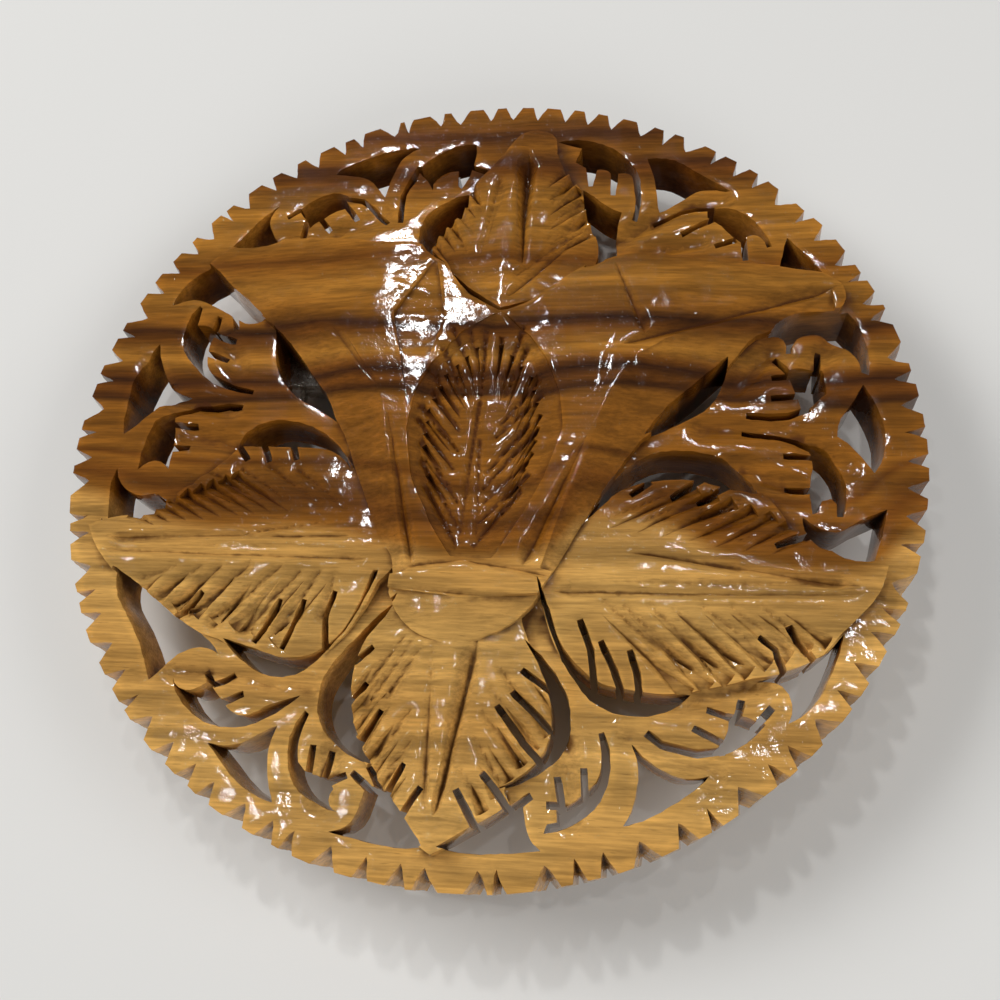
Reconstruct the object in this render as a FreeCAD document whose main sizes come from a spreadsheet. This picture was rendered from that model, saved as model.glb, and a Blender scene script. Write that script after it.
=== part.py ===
import FreeCAD, Part
import math
import os

V = FreeCAD.Vector
UP = V(0, 0, 1)

# A carved wooden brooch with a bar pin behind it. Millimetres.
# The origin is the centre of the flat back of the wood. +Z points out of the carved front,
# +Y to the top of the flower, and the pin lies below z = 0.

# Driving sizes: alias, value, meaning
SIZES = [
    ("plate_diameter", 60.0, "across the tips of the rim's teeth"),
    ("rim_thickness", 3.6, "thickness of the rim and the scrollwork"),
    ("facet", 0.04, "how far a flat of a sawn wall may stray from its drawn curve"),
    ("leaf_rise", 1.2, "height of the leaves above the rim"),
    ("flower_rise", 1.9, "height of the flower above the rim"),
    ("tooth_count", 86, "notches round the rim"),
    ("notch_front", 1.45, "depth of a notch at the front face"),
    ("notch_back", 0.35, "depth of a notch at the back face"),
    ("notch_half_angle", 25.0, "flank of a notch from its centre line, degrees"),
    ("kerf_width", 0.42, "width of a saw cut"),
    ("leaf_fall", 0.17, "fall of a leaf's lower side for each unit away from its midrib"),
    ("leaf_fall_inner", 0.12, "fall of a leaf's other side"),
    ("petal_fall", 0.085, "fall of the petals to their tips"),
    ("vein_depth", 0.55, "depth of a vein cut at the leaf's edge"),
    ("vein_half_angle", 38.0, "flank of a vein cut from the vertical, degrees"),
    ("vein_overrun", 1.3, "a vein's whole length, as a share of its length on the leaf"),
    ("rib_half_angle", 52.0, "flank of the long cuts beside a midrib, degrees"),
    ("run_out", 3.0, "length over which a long cut rises out at its ends, by its depth"),
    ("fan_depth", 0.4, "depth of the fine cuts in the throat"),
    ("fan_half_angle", 28.0, "flank of a fine cut in the throat, degrees"),
    ("throat_step", 0.15, "step down into the throat at its arch"),
    ("throat_depth", 0.55, "depth of the throat's floor below the flower"),
    ("pin_height", 8.0, "distance of the pin above the centre of the disc"),
    ("bar_length", 35.0, "length of the pin's bar"),
    ("bar_width", 4.3, "width of the pin's bar"),
    ("bar_thickness", 0.6, "sheet thickness of the bar, its ears and its keeper"),
    ("bar_hole", 1.6, "holes that the glue grips in"),
    ("glue_gap", 0.05, "glue film between bar and wood"),
    ("stem_diameter", 0.9, "wire of the pin stem"),
    ("hinge_inset", 2.6, "rivet's distance from the end of the bar"),
    ("rivet_diameter", 0.8, "hinge rivet"),
    ("rivet_head", 0.3, "height of a rivet head and how far it stands out round the shank"),
    ("ear_gap", 1.2, "clear width between the hinge ears"),
    ("ear_width", 2.6, "width of a hinge ear along the bar"),
    ("catch_inset", 3.6, "middle of the catch from the end of the bar"),
    ("catch_length", 2.6, "length of the keeper along the bar"),
    ("keeper_bore", 2.5, "bore of the open keeper"),
    ("keeper_wall", 0.5, "wall of the keeper"),
    ("keeper_gap", 2.0, "gap in the keeper that the stem leaves by"),
    ("collar_width", 0.4, "width of the lock's two collars and of its lever"),
    ("collar_rise", 0.22, "how far the collars stand out past the keeper's bore"),
    ("lever_length", 1.6, "how far the lock's lever stands out"),
    ("point_length", 1.6, "ground point of the stem"),
    ("point_overhang", 1.9, "how far the point reaches past the keeper"),
    ("turn_clearance", 0.08, "play between pieces that turn on each other"),
    ("stem_slot", 1.2, "slot in the turning lock that the stem passes"),
]

doc = FreeCAD.newDocument("carved_brooch")
sheet = doc.addObject("Spreadsheet::Sheet", "Sizes")
for row, (alias, value, meaning) in enumerate(SIZES, 1):
    sheet.set("A%d" % row, meaning)
    sheet.set("B%d" % row, str(value))
    sheet.setAlias("B%d" % row, alias)
doc.recompute()


def size(alias):
    return float(sheet.get(alias))


# The pattern is drawn in units of which this many go across the plate
UNIT_COUNT = 60
PATTERN = size("plate_diameter") / UNIT_COUNT
RIM = size("rim_thickness")
LEAF_TOP = RIM + size("leaf_rise")
FLOWER_TOP = RIM + size("flower_rise")
ABOVE = FLOWER_TOP + 2.0


# Outlines: each stretch is a straight line or a smooth curve that runs on to the next
# stretch's first point, so every first point is a sharp corner.

OPENINGS = [
    # upper left, above the petal
    [[(-17.8, 20.4), (-18.35, 18.85), (-17.85, 17.7)], [(-16.6, 16.1), (-18.8, 15.7)],
     [(-21.2, 16.1), (-19.85, 18.15), (-18.85, 19.45)]],
    [[(-16, 20), (-14.7, 21.15), (-13.4, 21.6)], [(-12.1, 21.3), (-12.2, 20.5)],
     [(-12.1, 20.1), (-12.9, 19.85), (-14, 19)], [(-14.95, 18.3), (-15.1, 18.9), (-15.5, 19.3)]],
    # along the left petal's lower edge
    [[(-22.3, 14.5), (-24, 13.2), (-24.7, 12.15)],
     [(-25, 11.05), (-23.3, 11.55), (-21.35, 10.85), (-19.7, 9.85), (-18.4, 9.3)],
     [(-17.2, 9.6), (-18.5, 11), (-20, 12.2), (-21.2, 13.5)]],
    [[(-16.2, 8.6), (-16, 6.9), (-15.5, 5), (-14.3, 3.4), (-11.9, 1.8)],
     [(-10.5, 0.9), (-11.4, 2.8), (-12.6, 4.4), (-14.6, 7)]],
    # top, left of the leaf
    [[(-13.4, 23.55), (-12, 24.6), (-10.5, 25.2), (-8.5, 25.85)],
     [(-6.6, 26.1), (-7.7, 25.3), (-8.5, 23.6), (-8.85, 22.2)],
     [(-9.05, 21.15), (-9.55, 21.85), (-10.8, 23.1), (-12, 23.35)]],
    [[(-6.6, 23.7), (-4.85, 25.35), (-2.8, 26.15)], [(-2, 26.2), (-2, 24.1)], [(-2.85, 21.75)],
     [(-3.15, 22.1)], [(-3.2, 23.5), (-4, 23.6), (-4.7, 23.3)], [(-5.2, 21.7)],
     [(-5.85, 23.05)]],
    [[(-2.15, 21.15), (-4.15, 20.3), (-5.6, 18.8), (-5.9, 17), (-5.3, 15.2)],
     [(-3.2, 13.1), (-4.3, 14.3), (-4.7, 15.5), (-3.6, 17.4), (-2.6, 18.5)]],
    # top, right of the leaf
    [[(4.7, 26.15), (6.3, 26.25), (8.3, 25.7), (10.4, 23.9), (11.2, 22), (11.25, 19.6)],
     [(10.95, 18.2)], [(10.6, 18.25), (10.85, 20.9), (10.1, 22.75)], [(9.5, 22.7)],
     [(9.35, 20.6)], [(9, 20.6)], [(8.95, 22.7), (8.4, 23.2)], [(7.8, 23.2)], [(7.55, 21.5)],
     [(7.25, 21.5)], [(7, 23.4)], [(6.2, 24)], [(6.7, 25.4)]],
    [[(6.85, 21.1), (7.6, 20.5), (8.55, 19.6)],
     [(9.8, 18.9), (9.35, 16.3), (9.4, 14.8), (8.9, 13.5)],
     [(7, 12.4), (7.9, 13.7), (8.1, 15.2), (7.5, 17.4), (7, 19.1)]],
    # upper right
    [[(11.8, 24.1), (13.3, 24), (15.7, 22.5)], [(18.1, 20.7), (16, 20.85), (14.2, 19.9)],
     [(12.65, 19.1), (12.55, 20.2), (12.25, 22.6)]],
    [[(16.4, 19.5), (17.7, 19.15), (19.6, 17.8)], [(20.9, 15.4)],
     [(20.55, 15.3), (20.1, 16.3), (19.6, 16.5)],
     [(18.7, 15.8), (18.2, 16.2), (17.3, 17.4)], [(16.3, 18.2)]],
    [[(22.05, 16.1), (22.9, 14.9), (23.7, 13.9)], [(24.8, 12.3), (22.2, 12.6)],
     [(21.1, 12.8), (21.6, 14.4), (21.8, 15.3)]],
    # left side
    [[(-22.75, 11), (-23.45, 9.3), (-23.2, 7), (-22.1, 5.6), (-20.4, 4.15), (-18.4, 3.4)],
     [(-17.2, 3.15)], [(-17.15, 3.5), (-19.6, 4.3), (-20.9, 5.2), (-21.3, 7)],
     [(-21.2, 8.6), (-21.5, 9), (-22.1, 9.15)], [(-22.65, 9.15)], [(-22.5, 10.7)]],
    [[(-25.3, 7.6), (-26.3, 5.5), (-26.85, 2.3)], [(-26.6, -0.1), (-25.8, 0.6), (-24, 2.3)],
     [(-21.95, 2.95), (-23.5, 3.6), (-24.7, 5.4)]],
    [[(-24.3, 0.9), (-23.5, 1.35)], [(-22.9, 1.65), (-22.6, 0), (-22.55, -1.4)],
     [(-22.6, -2.95), (-23.7, -2.3)], [(-24.8, -3), (-24.85, -1.7)]],
    [[(-26.45, -2.9), (-26.6, -4), (-26.5, -5.2)], [(-26.2, -7.3), (-24.8, -6.9), (-23.2, -6.8)],
     [(-21.9, -5.8), (-22.9, -5), (-24.6, -5)]],
    [[(-17.7, -1.2), (-17.1, -0.1), (-15.5, 0.9), (-13.4, 0.75), (-11.2, -0.2)],
     [(-8.8, -3.2), (-10.6, -1.6), (-11.8, -1.4), (-15.1, -1.3)]],
    # right side
    [[(20.1, 7.5), (22, 9), (24.3, 9.3)], [(25.7, 9.4), (26.55, 7.9), (26.8, 6.5)],
     [(26.65, 4.4)], [(26.2, 4.6), (26.1, 5.5), (24.9, 7), (23, 7.7), (22.1, 7.35)],
     [(21.65, 6.2)], [(21.35, 6.3), (21.2, 7.3)]],
    [[(21.25, 4.8), (22.4, 5.05)], [(23.7, 4.9)], [(23.8, 2.9), (22.65, 1.85)],
     [(22.2, 1.4), (21.85, 2.7)]],
    [[(17.2, 5.6), (17, 4.2), (15.9, 2.05), (13.9, 0.7)], [(11.4, -0.5), (13, 1.6), (15, 3.4)]],
    [[(26.25, 3.6), (27.05, 1.7), (27.35, 0.1), (26.85, -2.3)],
     [(26.4, -2.95), (25.5, -1.5), (24.9, -0.75)], [(24.3, -0.3), (24.4, 0.5), (25.6, 2.35)]],
    [[(22.3, -0.75), (23.3, -1.15), (24, -2), (24.5, -4), (24.4, -5.2)], [(24.15, -6.1)],
     [(23.8, -6.1)], [(23.85, -5.2)], [(23.5, -4.85)], [(22.8, -5.05)], [(22.6, -5.8)],
     [(22.2, -6), (22.3, -3.5), (22.55, -2.6)]],
    [[(8.2, -5.9), (10, -3), (11.9, -1.7), (14.7, -1.5), (17.2, -2.35)],
     [(18.7, -4.8), (16.8, -4.4), (15.2, -3.9), (12.6, -3.75), (10, -4.5)]],
    [[(26.9, -5.6), (26.4, -7.5)], [(25.7, -9.4), (23.7, -9.3), (22.5, -8.2), (21.7, -7.1)],
     [(21.6, -6.2), (22.4, -6.85), (23.6, -7.2), (25.2, -6.4)]],
    # lower left
    [[(-24.6, -10.6), (-24.5, -11.9), (-23, -14.15), (-21.3, -17.1)], [(-20.9, -18.1)],
     [(-20.3, -17.6), (-18.5, -16), (-17.5, -15.9)],
     [(-16.4, -16.3), (-17.2, -15.5), (-19.8, -13.9), (-22.6, -11.9)]],
    [[(-16.2, -15.3), (-14.8, -16.6), (-12.8, -17.6), (-11, -17.45), (-8.95, -15.7),
      (-7.2, -13.2)], [(-6.05, -10.6)],
     [(-6.4, -10.6), (-7.4, -13.3), (-8.8, -15.3), (-10, -16.1), (-11.5, -16.4),
      (-14.1, -15.9)]],
    [[(-19.3, -17.9), (-18.2, -19.6), (-16.6, -20.7), (-14.4, -20.95), (-12, -20)],
     [(-10.6, -18.8), (-12.4, -19.5), (-14.4, -20.2), (-15.2, -19.8), (-15.9, -19.1)],
     [(-16.9, -18.1), (-18.2, -18.8)]],
    [[(-16.15, -22), (-13.9, -22), (-12.8, -21.4)], [(-11.75, -20.8), (-12.1, -22.6)],
     [(-11.35, -25.4), (-13.3, -24.6), (-15.1, -23)]],
    # beside the bottom leaf
    [[(-4.5, -12.2), (-6.9, -14.5), (-8.5, -16.6), (-9.35, -18.7), (-8.7, -20.9),
      (-6.9, -22.3)], [(-5.4, -22.9), (-6.8, -20.1), (-7.1, -17.5), (-6.5, -15), (-5.3, -13.6)]],
    [[(-10.1, -19.8), (-10.85, -22.4), (-10.1, -24.3), (-8.5, -25.4)],
     [(-7.1, -25.75), (-7.9, -25.1)], [(-7.6, -24.4)], [(-8.2, -23.8)],
     [(-9.4, -23.6)], [(-10.1, -23), (-10.25, -21.6)], [(-9.8, -20)]],
    [[(-5.6, -24.4), (-4.9, -24.2), (-3.9, -24.8), (-2.7, -26.2)],
     [(-1.6, -27.5), (-3.5, -27.6), (-5.5, -27.35)], [(-7.55, -27), (-6.3, -26.4), (-5.8, -25.2)]],
    [[(-0.75, -27.5), (1.6, -27.75), (3.4, -27.6)], [(5.1, -27.4), (4.5, -26.6), (4.2, -25.4)],
     [(4.1, -24.9)], [(3.3, -24.95), (2, -25.9), (0.6, -26.7)]],
    [[(3.8, -14.9), (5.8, -16.9), (6.8, -19.1), (6.5, -21.5), (4.9, -23.1)],
     [(2.6, -24.1), (4.3, -23), (5.3, -21.8), (5.7, -20.2), (5.3, -17.6)]],
    [[(8.85, -20.4), (9.3, -22.5), (8.7, -24.5), (7, -25.95)], [(5.4, -26.4)],
     [(5.6, -25.9)], [(6.2, -25.8)], [(6.1, -25.1), (7.3, -24.5), (8.5, -23.4), (8.75, -21.3)],
     [(8.55, -20.5)]],
    # lower right
    [[(4.5, -11), (5.2, -13.6), (6.7, -16.9), (8.5, -18.8), (10.4, -19.4), (12.5, -19)],
     [(14.2, -17.9), (10.8, -17.9), (8, -17.2), (6.3, -15.5), (5.4, -13.1)]],
    [[(16.3, -19), (17.4, -19.2)], [(18.5, -19.6), (17.3, -20.7)], [(15.7, -21.55)],
     [(15.6, -21.1), (16.3, -20.1)]],
    [[(23.6, -13.9), (22.6, -16.3), (21.2, -18.5)],
     [(19.9, -19.5), (20.15, -18.4), (19.6, -17.3)], [(18.1, -17), (20.6, -16.2), (22.1, -15.4)]],
    [[(10.5, -21), (12, -22.35), (13.9, -22.95)], [(15.1, -22.7), (13.2, -24.3), (11.2, -25.4)],
     [(10.1, -25.75), (10.8, -24.2), (10.95, -22.2)]],
]

# Saw cuts that run from an opening into the wood: points from the opening to the cut's end
KERFS = [
    [(-16.2, 19.8), (-16.9, 19.25)], [(-12.2, 20.4), (-11.15, 18.95)], [(-14, 18.95), (-13.2, 18)],
    [(-15.15, 18.7), (-15.6, 17.2)], [(-12.6, 21.05), (-10.8, 20.7), (-9.7, 19.8), (-8.55, 18.5)],
    [(-19.6, 9.9), (-19.4, 8.75)], [(-6.6, 23.7), (-7.05, 22.6), (-7.5, 21.2), (-7.55, 18.5)],
    [(-2, 23.7), (-0.75, 23.15)], [(16.5, 19.3), (15.4, 19.3), (14.3, 19.05), (12.2, 17.9)],
    [(16.3, 17.8), (14.3, 16.7)], [(17.9, 15.9), (16.7, 15.45)], [(18.85, 15.8), (18.9, 14.2)],
    [(-21.2, 6.65), (-19.65, 6.15)], [(-21.2, 8.5), (-19.3, 7.8)], [(-21.3, 8.9), (-20.95, 9.95)],
    [(-23, 1.3), (-21.3, 2.15), (-19, 2.25), (-17.8, 2.05)], [(-22.6, 0.55), (-21, 0.5)],
    [(-22.5, -1.35), (-21.3, -1.2)], [(-22.8, -5.3), (-22, -5.9)],
    [(23.4, 5), (23.55, 6.4)], [(22.2, 1.6), (21.2, 1.25), (20, 1.2), (18.3, 1.3)],
    [(21.8, 2.7), (20.1, 2.6)], [(21.3, 4.3), (20.2, 4.15)], [(21.3, 4.7), (20.45, 5.9)],
    [(22.4, -1), (21.6, -0.6), (20.6, -0.35), (18, 0.1)], [(22.4, -1.8), (20.65, -1.8)],
    [(22.2, -4.3), (20.6, -4.1)], [(16.7, -4.3), (14.8, -5.5)], [(14.8, -4), (13.1, -5.1)],
    [(11.5, -4.2), (10.45, -5)], [(21.7, -7.6), (19.6, -8.6)],
    [(-17.2, -1.4), (-16.5, -2.5)], [(-15.5, -1.2), (-14.9, -2.6)], [(-13.3, -1.4), (-12.9, -2.4)],
    [(-12, -15.5), (-10.9, -12.6)], [(-13.9, -15.2), (-12.5, -12.6)],
    [(-9.2, -15.4), (-9.4, -13.6), (-8.8, -12)], [(-19.3, -13.7), (-18, -12.2)],
    [(-15.3, -19.35), (-14.35, -18.8)], [(-16.1, -18.15), (-15.15, -17.6)],
    [(-16.7, -18.15), (-17.2, -17.45)],
    [(-6, -21.4), (-4.9, -19.7)], [(-6.9, -19), (-6.1, -17.9)], [(-6.8, -16.4), (-5.9, -15.6)],
    [(-8.1, -24.1), (-6.85, -23.6)], [(-8.4, -24.2), (-8, -22.15)], [(-9.3, -23.6), (-9.25, -21.9)],
    [(-5.3, -24.4), (-6.55, -23.4)], [(-4.75, -24.3), (-5.5, -23)], [(-4, -24.5), (-3.2, -22.8)],
    [(-2.9, -25.7), (-2, -24.2)], [(3.8, -24.9), (4.6, -24.35)], [(3.1, -25), (1.6, -23.2)],
    [(1.3, -26.1), (0.1, -24.2)], [(5.3, -17.9), (3.7, -16.8)], [(5.4, -20.3), (3.2, -18.2)],
    [(5, -22.3), (4, -21.3), (2.3, -19.1)], [(6.1, -24.85), (5.5, -24.85)],
    [(6.4, -24.8), (6.1, -23.15)], [(7.8, -24), (7.7, -22.6)],
    [(8.2, -17.4), (8, -15.5), (7.3, -13.6)], [(9.9, -17.9), (9.5, -16.7), (8.6, -14.9)],
    [(11, -18), (10.9, -16.8), (10.4, -15.4)],
    [(15.6, -21.3), (14.4, -21.45), (12.3, -21), (11.4, -20.35)], [(16.2, -19.2), (15.1, -18.8)],
    [(16, -20.85), (14.2, -19.95)], [(16.9, -19.2), (17.2, -18.1)], [(18.4, -19.2), (18.95, -18.6)],
    [(21.4, -15.7), (20.1, -13.7)], [(19.6, -16.4), (19.3, -15.1), (18.3, -14.4)],
]

# Raised forms. Where one borders an opening it is drawn into it, and the opening trims it.
FLOWER = [
    [(-22.6, 14.2), (-20.8, 15.9), (-16.6, 16.3), (-12.5, 16.1), (-9, 15.4), (-5, 14.9)],
    [(-3.1, 13.2), (-1, 10.3)],
    [(1.1, 9), (3.7, 10.2), (7.1, 12.6), (10.8, 13.7), (15.3, 13.3), (20.6, 12.9), (23.5, 12.7)],
    [(25.4, 11.4), (24.4, 8.9)],
    [(23.2, 9), (21.2, 8), (19.3, 7.2), (17.2, 4.8), (13.8, 1.5), (11.2, -1), (9.2, -4),
     (7.1, -7.7), (5.9, -10)],
    [(4.9, -11.9), (2, -14.7), (-0.8, -15.4), (-3.4, -14.6)],
    [(-5.2, -12.2), (-5.1, -10.4), (-6.5, -7.7), (-8.4, -3.4), (-9.6, -0.6), (-11.8, 2.9),
     (-13.7, 5.7), (-15.7, 8.1), (-18.9, 10.9)],
]
# The throat: its outer arch and the edge of its floor, point by point
THROAT_ARCH = [(1.1, 8.9), (3.2, 6.9), (4.6, 4.8), (5.6, 2.2), (5.9, -0.6), (4.7, -4.3),
               (2.9, -7.7), (1.6, -10), (-1.1, -9.9), (-2.6, -7.6), (-4.2, -4.3), (-4.9, -0.6),
               (-4.5, 2.2), (-3.6, 4.4), (-1.7, 7)]
THROAT_FLOOR = [(0.7, 7.3), (2.6, 6.5), (3.7, 4.7), (4.4, 2.2), (4.3, -0.6), (3.6, -3.6),
                (2.5, -6.2), (1, -8.8), (-0.7, -8.8), (-2.3, -6.6), (-3.5, -4.1), (-4.1, -0.6),
                (-3.9, 2.2), (-3, 4.6), (-1.2, 6.6)]
# Cuts that fan out in the throat, outer end and inner end; more lie evenly between them
LEFT_FAN = [((-0.5, 6.2), (0, 2.6)), ((-2.6, 3.9), (-0.7, 0.7)), ((-3.6, 1.2), (-1.4, -1.6)),
            ((-3.7, -1.6), (-1.6, -4.3)), ((-3, -4.9), (-0.9, -7.8))]
RIGHT_FAN = [((1.3, 6.4), (0.9, 2.2)), ((3.6, 3.7), (2.3, -0.6)), ((4.3, 0.7), (2.3, -3.8)),
             ((3.9, -2.2), (1.8, -6.3)), ((2.4, -5.8), (0.8, -8.6))]

TOP_LEAF = [
    [(1, 9.5), (-3.4, 13.5), (-5.1, 15.6), (-4, 17.7), (-3.2, 19.2), (-2.2, 20.8), (-0.6, 22.6)],
    [(1.4, 25.4), (3.8, 26.4), (5.1, 23.2), (6.6, 20.8)],
    [(7.5, 19.3), (8.4, 15.2), (8.2, 13.6)],
    [(6.5, 11.5)],
]
LEFT_LEAF = [
    [(-27, -7.9), (-25.2, -6.5), (-22.2, -6), (-20.6, -4.6), (-18, -2.2), (-17, -0.9),
     (-13, -0.8), (-10.4, -1.2), (-8.2, -3.6)],
    [(-4.4, -9.8)],
    [(-6, -11.4), (-7.8, -14.6), (-9.4, -16.3), (-11.8, -16.9), (-14.3, -16.4), (-16.6, -15.4),
     (-19.8, -14.4), (-23, -12.4), (-24.9, -10.6)],
]
RIGHT_LEAF = [
    [(7, -7.4), (9, -5.3), (10, -4), (12.6, -3.2), (15.2, -3.4), (18.9, -4.6), (20.9, -7.3),
     (22.4, -8.6), (24.2, -9)],
    [(26.4, -9.7), (25.2, -12.1), (23.4, -14), (20.8, -16.4), (17.8, -16.9), (14, -17.9),
     (10.8, -18.3), (8, -17.6), (6.1, -15.9), (5.1, -13.4)],
    [(4.6, -11)],
]
BOTTOM_LEAF = [
    [(-4.4, -12.6), (-5.5, -13.4), (-6.8, -15), (-7.4, -17.5), (-7.1, -20.3), (-5.6, -23),
     (-4.2, -25.1), (-2.5, -27)],
    [(-0.9, -28), (0.5, -27), (2, -26.2), (3.4, -25.1), (3, -24.2), (4.6, -23.2), (5.6, -21.8),
     (6, -20), (5.6, -17.6), (4.1, -15)],
    [(3.4, -13)],
]

# Each side of a leaf: the line it falls away from, its fall, and its row of veins as
# first start, last start, first reach, last reach and number of cuts
TOP_SIDES = [
    ((1.2, 24), (0.9, 12), "leaf_fall_inner",
     ((-3, 13.6), (-0.8, 18.8), (-1.7, 2.8), (-1.2, 2.2), 6)),
    ((1.6, 12), (1.9, 24), "leaf_fall_inner",
     ((4.5, 14), (3.9, 20.4), (2.6, 2.4), (1.5, 2), 6)),
]
LEFT_SIDES = [
    ((-25, -9.2), (-8, -9.2), "leaf_fall",
     ((-9.1, -11.2), (-20.8, -11), (-2.8, -3.3), (-1.4, -1.2), 8)),
    ((-8, -8.9), (-25, -8.9), "leaf_fall_inner",
     ((-12.4, -6.7), (-22, -7.8), (-3.8, 2.4), (-1.6, 0.9), 9)),
]
RIGHT_SIDES = [
    ((6, -12), (25, -11.6), "leaf_fall",
     ((8.3, -13), (19.6, -12.8), (4.4, -3.9), (2.2, -1.5), 8)),
    ((25, -11), (7, -10.2), "leaf_fall_inner",
     ((8.8, -7.6), (19, -9.4), (4.6, 2.5), (2.4, 1.5), 7)),
]
BOTTOM_SIDES = [
    ((-1.4, -26), (-1.6, -14), "leaf_fall_inner",
     ((-4.6, -15.2), (-2.5, -23), (-2.2, -3.2), (-1.3, -1.8), 8)),
    ((0.4, -14), (-0.6, -26), "leaf_fall_inner",
     ((2.6, -15.4), (0.7, -23.4), (2.8, -3.4), (0.9, -1.6), 7)),
]

# Long cuts along a leaf's midrib: start and its depth, end and its depth
TOP_RIBS = [((2.4, 12.8), 0.05, (2.5, 22.6), 0.75), ((-0.5, 14.2), 0.05, (0.5, 20.6), 0.35),
            ((1.9, 11), 0.3, (6.4, 15.8), 0.75)]
LEFT_RIBS = [((-8.6, -8.3), 0.25, (-24.6, -8.5), 0.35), ((-7.6, -9.9), 0.4, (-24.6, -9.5), 0.35)]
RIGHT_RIBS = [((10.4, -9.1), 0.25, (23.8, -11.1), 0.3), ((6.8, -11.9), 0.45, (24, -11.7), 0.25)]
BOTTOM_RIBS = [((-2, -15.7), 0.2, (-1.6, -25.2), 0.3), ((0.8, -15.4), 0.45, (-0.9, -25.2), 0.35)]

# Long cuts in the flower, in the same way
FLOWER_LINES = [
    ((10.6, 6.2), 0.3, (23.6, 10.7), 1.6), ((7.4, -1.4), 0.1, (4.1, -9.2), 0.6),
    ((-6.3, 0.6), 0.1, (-3.9, -9.6), 0.5), ((-7.6, 3.2), 0.15, (-11, 7.4), 0.45),
    ((9.4, 12.8), 0.1, (11.2, 7.6), 0.45), ((1.1, 8.9), 0.25, (-0.9, 11), 0.7),
    ((1.1, 8.9), 0.25, (3, 10.1), 0.6), ((-5.8, -10.8), 0.4, (-0.2, -10.1), 0.2),
    ((-0.2, -10.1), 0.2, (5.9, -11.2), 0.4), ((-5.4, -12), 0.35, (4.4, -12.7), 0.35),
]

# Carved flats of the flower, each a strip between two rows of points: x, y and depth
PETAL_UNDERSIDES = [
    ([(-23.4, 14.5, 1.2), (-17.2, 11.8, 0.7), (-13.8, 9.6, 0.4), (-10, 6.8, 0.12),
      (-7.3, 3.2, 0), (-6.2, -1.5, 0), (-4.4, -8.5, 0.05), (-3.8, -10.8, 0.1)],
     [(-23.6, 13, 1.6), (-18.8, 9.8, 1.6), (-16, 7.2, 1.5), (-13, 3.9, 1.5),
      (-10.7, -0.3, 1.4), (-9.3, -2.8, 1.3), (-7, -8.6, 1.2), (-5.8, -11.4, 1.2)]),
    ([(24.6, 11, 1.2), (19.6, 9, 0.65), (15.8, 7.7, 0.4), (12.9, 6.4, 0.15), (10.6, 4.9, 0),
      (9, 2.4, 0), (8, -0.6, 0), (6.3, -5.5, 0), (4.7, -10.6, 0.1)],
     [(24.8, 8.4, 1.7), (21.4, 7.3, 1.6), (17.9, 4.7, 1.4), (16, 2.9, 1.4), (13.9, 0.8, 1.4),
      (11.8, -1.2, 1.4), (10.2, -3.1, 1.3), (8.1, -7.2, 1.2), (6.5, -11, 1.1)]),
]
HOLLOW = ([(-6.7, 8.9, 0.4), (-2.9, 8.6, 0.4)], [(-4.9, 0.9, 0), (-4, 13.6, 0)])
BOSS_TOP = (-0.4, -12.6, 0.2)
BOSS_EDGE = [(-6, -11.9, 0.9), (-5, -13.9, 1), (-3.6, -15.2, 1), (-0.8, -16, 1),
             (2.2, -15.3, 1), (4.2, -13.6, 1), (5.6, -12.2, 0.9)]


def sized(point):
    """A point of the drawing at the plate's own size."""
    return V(point[0] * PATTERN, point[1] * PATTERN, 0)


def arc_from(start, direction, end):
    """Points of the arc that leaves a point in a direction and ends at another."""
    chord = end - start
    across = direction - chord * (direction.dot(chord) / chord.dot(chord))
    if across.Length < 0.01:
        return [start, end]
    turn = direction.getAngle(chord)
    middle = start + chord / 2 + across.normalize() * chord.Length / 2 * math.tan(turn / 2)
    return Part.Arc(start, middle, end).toShape().discretize(QuasiDeflection=size("facet"))


def tangent_arcs(start, leaving, end, arriving):
    """Points of two arcs from start to end that share a tangent where they meet."""
    chord = end - start
    square = 2 * (leaving.dot(arriving) - 1)
    linear = -2 * chord.dot(leaving + arriving)
    constant = chord.dot(chord)
    if abs(square) < 1e-6:
        reach = -constant / linear
    else:
        reach = (-linear - math.sqrt(linear ** 2 - 4 * square * constant)) / (2 * square)
    joint = (start + end + (leaving - arriving) * reach) / 2
    return arc_from(start, leaving, joint) + arc_from(end, arriving * -1, joint)[::-1]


def curve(points):
    """Points along a stretch: straight between two, tangent arcs through more."""
    if len(points) == 2:
        return points
    steps = [after - before for before, after in zip(points, points[1:])]
    tangents = []
    for before, after in zip(steps, steps[1:]):
        tangent = before / before.dot(before) + after / after.dot(after)
        tangents.append(tangent.normalize())
    run = arc_from(points[1], tangents[0] * -1, points[0])[::-1]
    for index in range(1, len(points) - 2):
        run += tangent_arcs(points[index], tangents[index - 1], points[index + 1],
                            tangents[index])
    return run + arc_from(points[-2], tangents[-1], points[-1])


def flat_face(points):
    """The flat face inside a closed run of points."""
    corners = []
    for point in points:
        if not corners or (point - corners[-1]).Length > size("facet"):
            corners.append(point)
    if (corners[0] - corners[-1]).Length < size("facet"):
        corners.pop()
    return Part.Face(Part.makePolygon(corners + corners[:1]))


def outline(stretches):
    """The flat face inside a closed outline."""
    points = []
    for index, stretch in enumerate(stretches):
        following = stretches[(index + 1) % len(stretches)]
        points += curve([sized(point) for point in stretch + following[:1]])
    return flat_face(points)


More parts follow.
